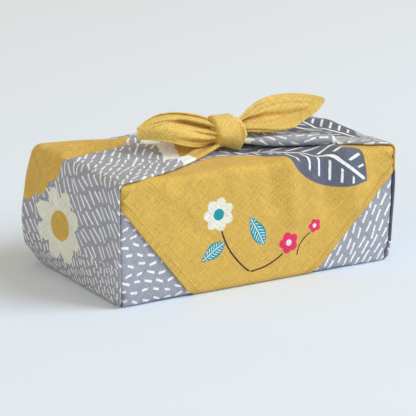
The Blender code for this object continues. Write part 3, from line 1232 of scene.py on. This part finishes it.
class DashStyle(NamedTuple):
    """Hand-drawn dashes: degrees from the u axis, then mm across, along, long and wide, tilt, rank and scatter."""

    angle: float
    across: float
    along: float
    length: float
    width: float
    tilt: float
    rank: float
    scatter: float


class Area(NamedTuple):
    """A rectangle of the flat cloth, in mm."""

    u_low: float
    u_high: float
    v_low: float
    v_high: float


class Leaf(NamedTuple):
    """A printed leaf, in mm: its middle, half length, half width, angle in degrees, and its inks."""

    u: float
    v: float
    half_length: float
    half_width: float
    angle: float
    ink: Ink
    veins: Ink


class Bloom(NamedTuple):
    """A printed flower, in mm: its middle, radius, number of petals, the petals' depth, and its inks."""

    u: float
    v: float
    radius: float
    petals: int
    depth: float
    ink: Ink
    heart: Ink
    heart_radius: float


class Stem(NamedTuple):
    """A printed stroke between two places, in mm, bowed sideways at its middle."""

    u: float
    v: float
    to_u: float
    to_v: float
    bow: float
    width: float
    ink: Ink


class Field(NamedTuple):
    """A plain field of one ink, bounded by a wavy line: its area, the side that it fills and the line's waves."""

    area: Area
    start: float
    wave: float
    wave_length: float
    along_u: bool
    above: bool
    ink: Ink


EVERYWHERE = Area(-400, 400, -400, 400)
DASHES = (
    (EVERYWHERE, DashStyle(20, 4.7, 10.0, 7.6, 1.3, 0.4, 0.2, 0.4)),
    (Area(-178, -116, -60, 60), DashStyle(-40, 4.8, 11.4, 9.0, 1.35, 0.35, 0.18, 0.35)),
    (Area(-119, -90, -60, 60), DashStyle(-24, 3.7, 5.8, 4.2, 1.25, 0.5, 0.1, 0.5)),
    (Area(90, 119, -60, 60), DashStyle(-24, 3.7, 5.8, 4.2, 1.25, 0.5, 0.1, 0.5)),
    (Area(-400, -172, -60, 60), DashStyle(-50, 4.6, 9.0, 6.6, 1.3, 0.5, 0.1, 0.5)),
    (Area(172, 400, -60, 60), DashStyle(16, 4.4, 8.4, 6.0, 1.2, 0.5, 0.1, 0.6)),
    (Area(-120, 0, -140, -50), DashStyle(2, 5.6, 7.4, 4.2, 1.55, 1.1, 0.3, 1.0)),
    (Area(0, 120, -140, -50), DashStyle(-66, 4.6, 10.6, 7.6, 1.4, 0.3, 0.34, 0.2)),
)
FIELDS = (
    Field(Area(-400, 400, 205, 400), 212, 5.0, 60.0, True, True, Ink.MUSTARD),
    Field(Area(108, 154, -90, -40), -54.0, 0.2, 20.0, True, False, Ink.SLATE),
    Field(Area(154, 174, -90, -40), -52.8, 0.2, 20.0, True, False, Ink.MUSTARD),
    Field(Area(-400, 0, -400, 400), -223, 1.5, 24.0, False, False, Ink.WHITE),
    Field(Area(-400, 0, -400, 400), -234, 1.5, 24.0, False, False, Ink.MUSTARD),
    # the cloth by the knot and the left free end take the lighter mustard: painted highlight
    Field(Area(-400, 0, -400, 400), -254, 1.0, 24.0, False, False, Ink.MUSTARD_PAINTED_HIGHLIGHT),
    Field(Area(0, 400, -400, 400), 251, 1.5, 24.0, False, True, Ink.IVORY),
    # the knot and the right free end take the lighter mustard: painted highlight
    Field(Area(0, 400, -400, 400), 256, 1.5, 24.0, False, True, Ink.MUSTARD_PAINTED_HIGHLIGHT),
)
BLOOMS = (
    Bloom(-188, 60, 50, 16, 0.07, Ink.MUSTARD, Ink.MUSTARD, 4.0),
    Bloom(-130, 14, 24, 8, 0.30, Ink.IVORY, Ink.MUSTARD, 9.5),
    Bloom(128, -8, 24, 8, 0.30, Ink.IVORY, Ink.MUSTARD, 9.5),
    Bloom(-30, 262, 10.5, 7, 0.24, Ink.IVORY, Ink.TEAL, 3.6),
    Bloom(20, 287, 7.0, 5, 0.26, Ink.PINK, Ink.IVORY, 2.0),
    Bloom(39, 279, 4.6, 5, 0.26, Ink.PINK, Ink.IVORY, 1.4),
    Bloom(-34, 92, 24, 8, 0.30, Ink.IVORY, Ink.MUSTARD, 9.5),
)
LEAVES = (
    Leaf(38, 226, 48, 20, 38, Ink.SLATE, Ink.WHITE),
    Leaf(190, 4, 38, 20, 76, Ink.SLATE, Ink.WHITE),
    Leaf(48, 96, 42, 17, -24, Ink.SLATE, Ink.WHITE),
    Leaf(-30, 168, 40, 16, 20, Ink.SLATE, Ink.WHITE),
    Leaf(-3, 276, 11, 4.8, 62, Ink.TEAL, Ink.WHITE),
    Leaf(-34, 285, 10, 4.4, -30, Ink.TEAL, Ink.WHITE),
)
STEMS = (
    Stem(-28, 272, -8, 301, 3.0, 1.1, Ink.BROWN),
    Stem(16, 293, -8, 301, -2.0, 1.0, Ink.BROWN),
    Stem(36, 283, 26, 296, 2.0, 0.9, Ink.BROWN),
    Stem(204, -33, 204, -47, 0.0, 1.8, Ink.WHITE),
)


class Seed(float, Enum):
    """Third coordinates of the noises, which keep them apart."""

    FRAY_U = 1.0
    FRAY_V = 2.0
    SWAY = 3.0
    BORDER = 5.0
    WARP_SLUB = 7.0
    WEFT_SLUB = 8.0
    MOTTLE = 9.0
    GRAIN = 10.0
    COLUMN = 11.0
    DENTS = 12.0
    OFFSET = 21.0
    TILT = 31.0
    LENGTH = 41.0


@dataclass(frozen=True)
class Formula:
    """Builds the numbers and colours of one material's node tree."""

    tree: bpy.types.NodeTree

    def map(self, name: str) -> tuple[Term, Term]:
        """Reads a map of the mesh, in mm.

        Args:
            name: The map's name.

        Returns:
            Its two numbers.
        """
        source = self.tree.nodes.new("ShaderNodeUVMap")
        source.uv_map = name
        parts = self.tree.nodes.new("ShaderNodeSeparateXYZ")
        self.tree.links.new(source.outputs[0], parts.inputs[0])
        return Term(self.tree, parts.outputs[0]) * (1 / MM), Term(self.tree, parts.outputs[1]) * (1 / MM)

    def point(self, x: Value, y: Value, z: Value = 0.0) -> bpy.types.NodeSocket:
        """Joins three numbers into a point.

        Args:
            x: The first number.
            y: The second number.
            z: The third number.

        Returns:
            The point's output.
        """
        node = self.tree.nodes.new("ShaderNodeCombineXYZ")
        for slot, value in zip(node.inputs, (x, y, z)):
            plug(self.tree, slot, value)
        return node.outputs[0]

    def noise(self, x: Value, y: Value, seed: float, detail: float = 2.0) -> Term:
        """Smooth noise, about 0 in the middle.

        Args:
            x: First coordinate, in the noise's own scale.
            y: Second coordinate, in the noise's own scale.
            seed: Third coordinate, which makes each use differ.
            detail: Octaves of finer noise.

        Returns:
            A number from about -0.5 to 0.5.
        """
        node = self.tree.nodes.new("ShaderNodeTexNoise")
        node.inputs["Scale"].default_value = 1.0
        node.inputs["Detail"].default_value = detail
        self.tree.links.new(self.point(x, y, seed), node.inputs["Vector"])
        return Term(self.tree, node.outputs[0]) - 0.5

    def chance(self, x: Value, y: Value, seed: float) -> Term:
        """One random number for each cell.

        Args:
            x: The cell's first number.
            y: The cell's second number.
            seed: A number that makes each use differ.

        Returns:
            A number from -0.5 to 0.5.
        """
        node = self.tree.nodes.new("ShaderNodeTexWhiteNoise")
        node.noise_dimensions = "3D"
        self.tree.links.new(self.point(x, y, seed), node.inputs["Vector"])
        return Term(self.tree, node.outputs["Value"]) - 0.5

    def layer(self, under: bpy.types.NodeSocket, over: Ink, mask: Term) -> bpy.types.NodeSocket:
        """Prints an ink over a colour where a mask is 1."""
        return self.mixed(under, over.value, mask)

    def mixed(self, under: bpy.types.NodeSocket, over: Sequence[float], mask: Term) -> bpy.types.NodeSocket:
        """Mixes a plain colour over another.

        Args:
            under: The colour so far.
            over: The plain colour.
            mask: How much of it there is, from 0 to 1.

        Returns:
            The new colour.
        """
        node = self.tree.nodes.new("ShaderNodeMix")
        node.data_type = "RGBA"
        self.tree.links.new(mask.socket, node.inputs[0])
        self.tree.links.new(under, node.inputs[6])
        node.inputs[7].default_value = over
        return node.outputs[2]

    def turned(self, u: Term, v: Term, centre: tuple[float, float], angle: float) -> tuple[Term, Term]:
        """Coordinates along and across a direction.

        Args:
            u: The cloth's first coordinate.
            v: The cloth's second coordinate.
            centre: The place that becomes the origin.
            angle: The direction in degrees from the u axis.

        Returns:
            The coordinates along and across it.
        """
        cos, sin = math.cos(math.radians(angle)), math.sin(math.radians(angle))
        du, dv = u - centre[0], v - centre[1]
        return du * cos + dv * sin, dv * cos - du * sin


@dataclass(frozen=True)
class Printer:
    """Prints the design on the cloth: each mask is 1 on its motif and 0 beside it.

    Attributes:
        u: The cloth's first coordinate.
        v: The cloth's second coordinate.
        ink_edge: Width over which an ink's edge fades.
        sway: Scale and size of the waves that the rows of dashes run in.
        dash_jitter: How far a dash stands off its row, as a share of the distance between rows.
        dash_vary: How much its length varies, as a share of it.
        border: Scale and size of the unevenness of a field's border.
        leaf_skew: How much fuller a leaf is towards its tip.
        vein_width: Half width of a vein, as a share of the leaf's half width, and its least size.
        vein_count: Pairs of veins on half a leaf.
        vein_slant: How far a vein leans for each mm away from the rib.
        rib_fade: Depths inside the leaf between which the rib shows, in half widths of it.
        vein_root: Where the veins start beside the rib, in half widths of it.
        vein_reach: Shares of the leaf's width between which the veins end.
        stem_end: Share of a stem's half length from which it tapers out.
    """

    f: Formula
    u: Term
    v: Term
    ink_edge: float
    sway: tuple[float, float] = (0.035, 5.0)
    dash_jitter: float = 0.3
    dash_vary: float = 0.2
    border: tuple[float, float] = (0.06, 4.0)
    leaf_skew: float = 0.35
    vein_width: tuple[float, float] = (0.05, 0.3)
    vein_count: int = 5
    vein_slant: float = 0.8
    rib_fade: tuple[float, float] = (1.0, 4.0)
    vein_root: tuple[float, float] = (3.0, 3.6)
    vein_reach: tuple[float, float] = (0.8, 0.72)
    stem_end: float = 0.94

    def inside(self, area: Area) -> Term:
        """Marks a rectangle of the cloth with 1."""
        mask = self.u.op("GREATER_THAN", area.u_low) * self.u.op("LESS_THAN", area.u_high)
        return mask * self.v.op("GREATER_THAN", area.v_low) * self.v.op("LESS_THAN", area.v_high)

    def stroke(self, off: Term, width: float) -> Term:
        """Marks a line of some width, at a distance off its middle."""
        return off.magnitude().step((width + self.ink_edge) / 2, (width - self.ink_edge) / 2)

    def filled(self, depth: Term) -> Term:
        """Marks a form by how deep inside it a place is."""
        return depth.step(-self.ink_edge, self.ink_edge)

    def dashes(self, index: int, style: DashStyle) -> Term:
        """Marks one kind of white dashes, all over the cloth.

        Args:
            index: The kind's number, which sets its random draws.
            style: Its measures.

        Returns:
            The mask.
        """
        along, across = self.f.turned(self.u, self.v, (0.0, 0.0), style.angle)
        scale, size = self.sway
        across = across + self.f.noise(self.u * scale, self.v * scale, Seed.SWAY + index, 0.0) * size
        column = (across / style.across).op("FLOOR")
        shift = self.f.chance(column, 0.0, Seed.COLUMN + index) * style.scatter + column * style.rank
        along = along + shift * style.along
        row = (along / style.along).op("FLOOR")
        off = self.f.chance(column, row, Seed.OFFSET) * (self.dash_jitter * style.across)
        off = ((across / style.across).fraction() - 0.5) * style.across + off
        gone = ((along / style.along).fraction() - 0.5) * style.along
        tilted = off + gone * self.f.chance(column, row, Seed.TILT) * style.tilt
        half = self.f.chance(column, row, Seed.LENGTH) * (self.dash_vary * style.length) + style.length / 2
        return self.stroke(tilted, style.width) * self.filled(half - gone.magnitude())

    def ground(self) -> Term:
        """Marks the dashes of the ground, each kind in its area.

        Returns:
            The mask.
        """
        mask = self.dashes(0, DASHES[0][1])
        for index, (area, style) in enumerate(DASHES[1:], start=1):
            here, inside = self.dashes(index, style), self.inside(area)
            mask = here * inside + mask * inside.flipped()
        return mask

    def field(self, spot: Field) -> Term:
        """Marks a plain field with a wavy border.

        Args:
            spot: The field.

        Returns:
            The mask.
        """
        way, height = (self.u, self.v) if spot.along_u else (self.v, self.u)
        scale, size = self.border
        wave = (way * (2 * math.pi / spot.wave_length)).op("SINE") * spot.wave
        wave = wave + self.f.noise(self.u * scale, self.v * scale, Seed.BORDER) * size
        over = height - wave - spot.start
        return self.filled(over if spot.above else over * -1.0) * self.inside(spot.area)

    def leaf(self, leaf: Leaf) -> tuple[Term, Term]:
        """Marks a leaf, and the veins on it.

        Args:
            leaf: The leaf.

        Returns:
            The leaf's mask and the veins' mask.
        """
        along, across = self.f.turned(self.u, self.v, (leaf.u, leaf.v), leaf.angle)
        part, off = along / leaf.half_length, across.magnitude()
        arch = (part * part).flipped() * (part * self.leaf_skew + 1.0) * leaf.half_width
        depth = arch - off
        body = self.filled(depth) * part.magnitude().op("LESS_THAN", 1.0)
        share, least = self.vein_width
        line = max(least, leaf.half_width * share)
        rib = self.stroke(across, 2 * line) * depth.step(*(line * fade for fade in self.rib_fade))
        pitch = leaf.half_length / self.vein_count
        slanted = (along - off * self.vein_slant) / pitch
        veins = self.stroke((slanted.fraction() - 0.5) * pitch, 2 * line) * (off / arch).step(*self.vein_reach)
        veins = veins * off.step(*(line * root for root in self.vein_root))
        return body, rib.op("MAXIMUM", veins) * body

    def bloom(self, bloom: Bloom) -> tuple[Term, Term]:
        """Marks a flower, and its heart.

        Args:
            bloom: The flower.

        Returns:
            The petals' mask and the heart's mask.
        """
        du, dv = self.u - bloom.u, self.v - bloom.v
        far = (du * du + dv * dv).op("SQRT")
        petal = (dv.op("ARCTAN2", du) * (bloom.petals / 2)).op("SINE").magnitude()
        rim = petal * (bloom.radius * bloom.depth) + bloom.radius * (1 - bloom.depth)
        return self.filled(rim - far), self.filled(far * -1.0 + bloom.heart_radius)

    def stem(self, stem: Stem) -> Term:
        """Marks a bowed stroke.

        Args:
            stem: The stroke.

        Returns:
            The mask.
        """
        run_u, run_v = stem.to_u - stem.u, stem.to_v - stem.v
        centre = ((stem.u + stem.to_u) / 2, (stem.v + stem.to_v) / 2)
        along, across = self.f.turned(self.u, self.v, centre, math.degrees(math.atan2(run_v, run_u)))
        part = along / (math.hypot(run_u, run_v) / 2)
        bowed = across - (part * part).flipped() * stem.bow
        return self.stroke(bowed, stem.width) * part.magnitude().step(1.0, self.stem_end)

    def colour(self) -> bpy.types.NodeSocket:
        """Prints the whole design, ink by ink.

        Returns:
            The design's colour.
        """
        ground = self.f.tree.nodes.new("ShaderNodeRGB")
        ground.outputs[0].default_value = Ink.GREY.value
        colour = self.f.layer(ground.outputs[0], Ink.WHITE, self.ground())
        for spot in FIELDS:
            colour = self.f.layer(colour, spot.ink, self.field(spot))
        for leaf in LEAVES:
            body, veins = self.leaf(leaf)
            colour = self.f.layer(self.f.layer(colour, leaf.ink, body), leaf.veins, veins)
        for stem in STEMS:
            colour = self.f.layer(colour, stem.ink, self.stem(stem))
        for bloom in BLOOMS:
            body, heart = self.bloom(bloom)
            colour = self.f.layer(self.f.layer(colour, bloom.ink, body), bloom.heart, heart)
        return colour


class Weave(NamedTuple):
    """The cloth's fine pattern: slubs, threads, grain, mottling and dents, the stitched line and the hem."""

    slub: Term
    threads: Term
    grain: Term
    mottle: Term
    dents: Term
    stitch_line: Term
    stitches: Term
    hem: Term


@dataclass(frozen=True)
class PrintedLinen:
    """Plain-weave linen and cotton with a hand-drawn style of print, matt, with slubs and sewn hems.

    Attributes:
        fray: Scale and size of the raggedness of the inks' edges.
        bias: Degrees from the cloth's u axis to its warp.
        stitch_inset: Distance of the stitched line from the edge.
        stitch_line: Distances from that line between which it shows.
        stitch_gap: Heights of a wave along it between which a stitch shows.
        hem_ramp: Width over which the hem's darker tone ends.
        relief: The height that the bump's 1 stands for.
    """

    roughness: float = 0.86
    roughness_slub: float = 0.12
    specular: float = 0.25
    sheen: float = 0.1
    sheen_roughness: float = 0.5
    ink_edge: float = 0.22
    fray: tuple[float, float] = (0.9, 0.5)
    bias: float = 45.0
    thread: float = 0.62
    slub_width: float = 0.75
    slub_length: float = 11.0
    grain_scale: float = 0.9
    mottle_scale: float = 0.05
    dent_scale: float = 0.11
    stitch_inset: float = 4.4
    stitch_pitch: float = 2.6
    stitch_line: tuple[float, float] = (0.55, 0.15)
    stitch_gap: tuple[float, float] = (-0.6, 0.2)
    hem_ramp: float = 0.5
    slub_shade: float = 0.62
    grain_shade: float = 0.46
    thread_shade: float = 0.09
    mottle_shade: float = 0.14
    stitch_shade: float = 0.13
    hem_shade: float = 0.05
    slub_height: float = 0.5
    thread_height: float = 0.25
    dent_height: float = 1.4
    stitch_height: float = 0.7
    relief: float = 0.22

    def weave(self, f: Formula, u: Term, v: Term) -> Weave:
        """Builds the cloth's fine pattern.

        Args:
            f: The material's formula.
            u: The cloth's first coordinate.
            v: The cloth's second coordinate.

        Returns:
            The parts of the pattern.
        """
        edge, _ = f.map("edge")
        warp, weft = f.turned(u, v, (0.0, 0.0), self.bias)
        slub = f.noise(warp / self.slub_width, weft / self.slub_length, Seed.WARP_SLUB, 3.0)
        slub = slub + f.noise(warp / self.slub_length, weft / self.slub_width, Seed.WEFT_SLUB, 3.0)
        warp_thread, weft_thread = ((way * (math.pi / self.thread)).op("SINE") for way in (warp, weft))
        along_edge = (u - v) * (math.pi * math.sqrt(0.5) / self.stitch_pitch)
        return Weave(
            slub=slub,
            threads=warp_thread * weft_thread,
            grain=f.noise(warp * self.grain_scale, weft * self.grain_scale, Seed.GRAIN, 1.0),
            mottle=f.noise(u * self.mottle_scale, v * self.mottle_scale, Seed.MOTTLE),
            dents=f.noise(u * self.dent_scale, v * self.dent_scale, Seed.DENTS),
            stitch_line=(edge - self.stitch_inset).magnitude().step(*self.stitch_line),
            stitches=along_edge.op("SINE").step(*self.stitch_gap),
            hem=edge.step(self.stitch_inset + self.hem_ramp, self.stitch_inset),
        )

    def shade(self, weave: Weave) -> Term:
        """Lightens and darkens the dyed cloth.

        Args:
            weave: The cloth's fine pattern.

        Returns:
            The factor of its colour, about 1.
        """
        shade = weave.slub * self.slub_shade + weave.grain * self.grain_shade + weave.threads * self.thread_shade
        shade = shade + weave.mottle * self.mottle_shade + 1.0
        return shade - weave.stitch_line * self.stitch_shade - weave.hem * self.hem_shade

    def height(self, weave: Weave) -> Term:
        """How far the cloth's surface stands out, as a share of the relief."""
        height = weave.slub * self.slub_height + weave.threads * self.thread_height + weave.dents * self.dent_height
        return height - weave.stitch_line * weave.stitches * self.stitch_height

    def material(self) -> bpy.types.Material:
        """Builds the finish.

        Returns:
            The material.
        """
        material = bpy.data.materials.new("printed linen")
        material.use_nodes = True
        tree = material.node_tree
        shader = tree.nodes["Principled BSDF"]
        f = Formula(tree)
        u, v = f.map("cloth")
        weave = self.weave(f, u, v)
        scale, size = self.fray
        frayed_u, frayed_v = (
            way + f.noise(u * scale, v * scale, seed) * size for way, seed in ((u, Seed.FRAY_U), (v, Seed.FRAY_V))
        )
        dyed = tree.nodes.new("ShaderNodeVectorMath")
        dyed.operation = "SCALE"
        tree.links.new(Printer(f, frayed_u, frayed_v, self.ink_edge).colour(), dyed.inputs[0])
        tree.links.new(self.shade(weave).socket, dyed.inputs["Scale"])
        tree.links.new(dyed.outputs[0], shader.inputs["Base Color"])
        bump = tree.nodes.new("ShaderNodeBump")
        bump.inputs["Strength"].default_value = 1.0
        bump.inputs["Distance"].default_value = self.relief * MM
        tree.links.new(self.height(weave).socket, bump.inputs["Height"])
        tree.links.new(bump.outputs[0], shader.inputs["Normal"])
        plug(tree, shader.inputs["Roughness"], weave.slub * self.roughness_slub + self.roughness)
        plug(tree, shader.inputs["Sheen Weight"], self.sheen)
        plug(tree, shader.inputs["Sheen Roughness"], self.sheen_roughness)
        plug(tree, shader.inputs["Specular IOR Level"], self.specular)
        return material


@dataclass(frozen=True)
class SoftLight:
    """A square lamp that faces the bundle: its place, the side of its square, its watts and its colour."""

    name: str
    place: tuple[float, float, float]
    size: float
    power: float
    colour: tuple[float, float, float]

    def build(self) -> None:
        """Hangs the lamp."""
        light = bpy.data.lights.new(self.name, "AREA")
        light.size = self.size
        light.energy = self.power
        light.color = self.colour
        lamp = bpy.data.objects.new(self.name, light)
        lamp.location = self.place
        lamp.rotation_euler = (-Vector(self.place)).to_track_quat("-Z", "Y").to_euler()
        bpy.context.scene.collection.objects.link(lamp)


@dataclass(frozen=True)
class Studio:
    """The plain pale floor, the soft lights and the camera.

    Attributes:
        floor_reach: Places along Y between which the floor's painted light tone changes from near to far.
        camera_turn: The camera's heading in degrees.
        camera_height: Degrees by which it looks down.
    """

    floor_half: float = 4.0
    floor_segments: int = 8
    # painted light: the floor's colour shifts from a bluer near tone to a warmer far tone, as the room's light falls
    # differently across it
    floor_near: tuple[float, float, float, float] = linear(224, 234, 253)
    floor_far: tuple[float, float, float, float] = linear(228, 234, 248)
    floor_reach: tuple[float, float] = (-0.3, 1.2)
    floor_roughness: float = 0.9
    floor_specular: float = 0.1
    room_colour: tuple[float, float, float, float] = linear(251, 239, 210)
    room_strength: float = 0.59
    lights: tuple[SoftLight, ...] = (
        SoftLight("key light", (3.2, -2.7, 3.3), 3.4, 232.0, (0.87, 0.95, 1.0)),
        SoftLight("fill light", (-3.0, -2.2, 2.0), 3.0, 30.0, (1.0, 0.96, 0.88)),
    )
    camera_place: tuple[float, float, float] = (-0.5937, -0.9919, 0.3556)
    camera_turn: float = -30.71
    camera_height: float = 15.51
    lens: float = 165.05
    sensor: float = 36.0
    clip: tuple[float, float] = (0.01, 20.0)

    def paper(self) -> bpy.types.Material:
        """Builds the floor's finish, a pale paper whose tone changes from front to back as painted light.

        Returns:
            The material.
        """
        paper = bpy.data.materials.new("pale paper")
        paper.use_nodes = True
        tree = paper.node_tree
        shader = tree.nodes["Principled BSDF"]
        place = tree.nodes.new("ShaderNodeTexCoord")
        parts = tree.nodes.new("ShaderNodeSeparateXYZ")
        tree.links.new(place.outputs["Object"], parts.inputs[0])
        near = tree.nodes.new("ShaderNodeRGB")
        near.outputs[0].default_value = self.floor_near
        away = Term(tree, parts.outputs["Y"]).step(*self.floor_reach)
        tree.links.new(Formula(tree).mixed(near.outputs[0], self.floor_far, away), shader.inputs["Base Color"])
        plug(tree, shader.inputs["Roughness"], self.floor_roughness)
        plug(tree, shader.inputs["Specular IOR Level"], self.floor_specular)
        return paper

    def floor(self) -> None:
        """Builds the floor, a wide sheet of paper."""
        bm = bmesh.new()
        steps = self.floor_segments
        bmesh.ops.create_grid(bm, x_segments=steps, y_segments=steps, size=self.floor_half)
        mesh = bpy.data.meshes.new("paper_floor")
        bm.to_mesh(mesh)
        bm.free()
        mesh.materials.append(self.paper())
        made = bpy.data.objects.new("paper_floor", mesh)
        bpy.context.scene.collection.objects.link(made)

    def room(self) -> None:
        """Lights the room evenly and shows colours as they are."""
        world = bpy.data.worlds.new("studio room")
        world.use_nodes = True
        background = world.node_tree.nodes["Background"]
        background.inputs["Color"].default_value = self.room_colour
        background.inputs["Strength"].default_value = self.room_strength
        bpy.context.scene.world = world
        bpy.context.scene.view_settings.view_transform = "Standard"
        bpy.context.scene.view_settings.look = "None"

    def camera(self) -> None:
        """Sets the camera at the photograph's angle."""
        lens = bpy.data.cameras.new("camera")
        lens.lens = self.lens
        lens.sensor_width = self.sensor
        lens.clip_start, lens.clip_end = self.clip
        eye = bpy.data.objects.new("camera", lens)
        eye.location = self.camera_place
        eye.rotation_euler = (math.radians(90 - self.camera_height), 0.0, math.radians(self.camera_turn))
        bpy.context.scene.collection.objects.link(eye)
        bpy.context.scene.camera = eye

    def build(self) -> None:
        """Sets up the whole studio."""
        self.floor()
        self.room()
        for light in self.lights:
            light.build()
        self.camera()


def dress(piece: bpy.types.Object, linen: bpy.types.Material) -> bpy.types.Object:
    """Gives a piece its finish and its place in the part.

    Args:
        piece: The piece of cloth.
        linen: Its material.

    Returns:
        The same piece.
    """
    piece.data.materials.append(linen)
    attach(piece, BODY)
    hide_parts(CAD_NODE)
    LOG.info("%s: %d faces", piece.name, len(piece.data.polygons))
    return piece


def main() -> None:
    """Builds the pieces of the wrap and the studio round them."""
    logging.basicConfig(level=logging.INFO, format="%(name)s: %(message)s")
    linen = PrintedLinen().material()
    sheet = dress(WrapSheet(Bundle()).build(), linen)
    knot = dress(Knot().build(), linen)
    left = dress(FreeEnd(Side.LEFT, LEFT_TAIL, LEFT_TAIL_CREASES).build(), linen)
    right = dress(FreeEnd(Side.RIGHT, RIGHT_TAIL, RIGHT_TAIL_CREASES).build(), linen)
    Studio().build()


if __name__ == "__main__":
    main()
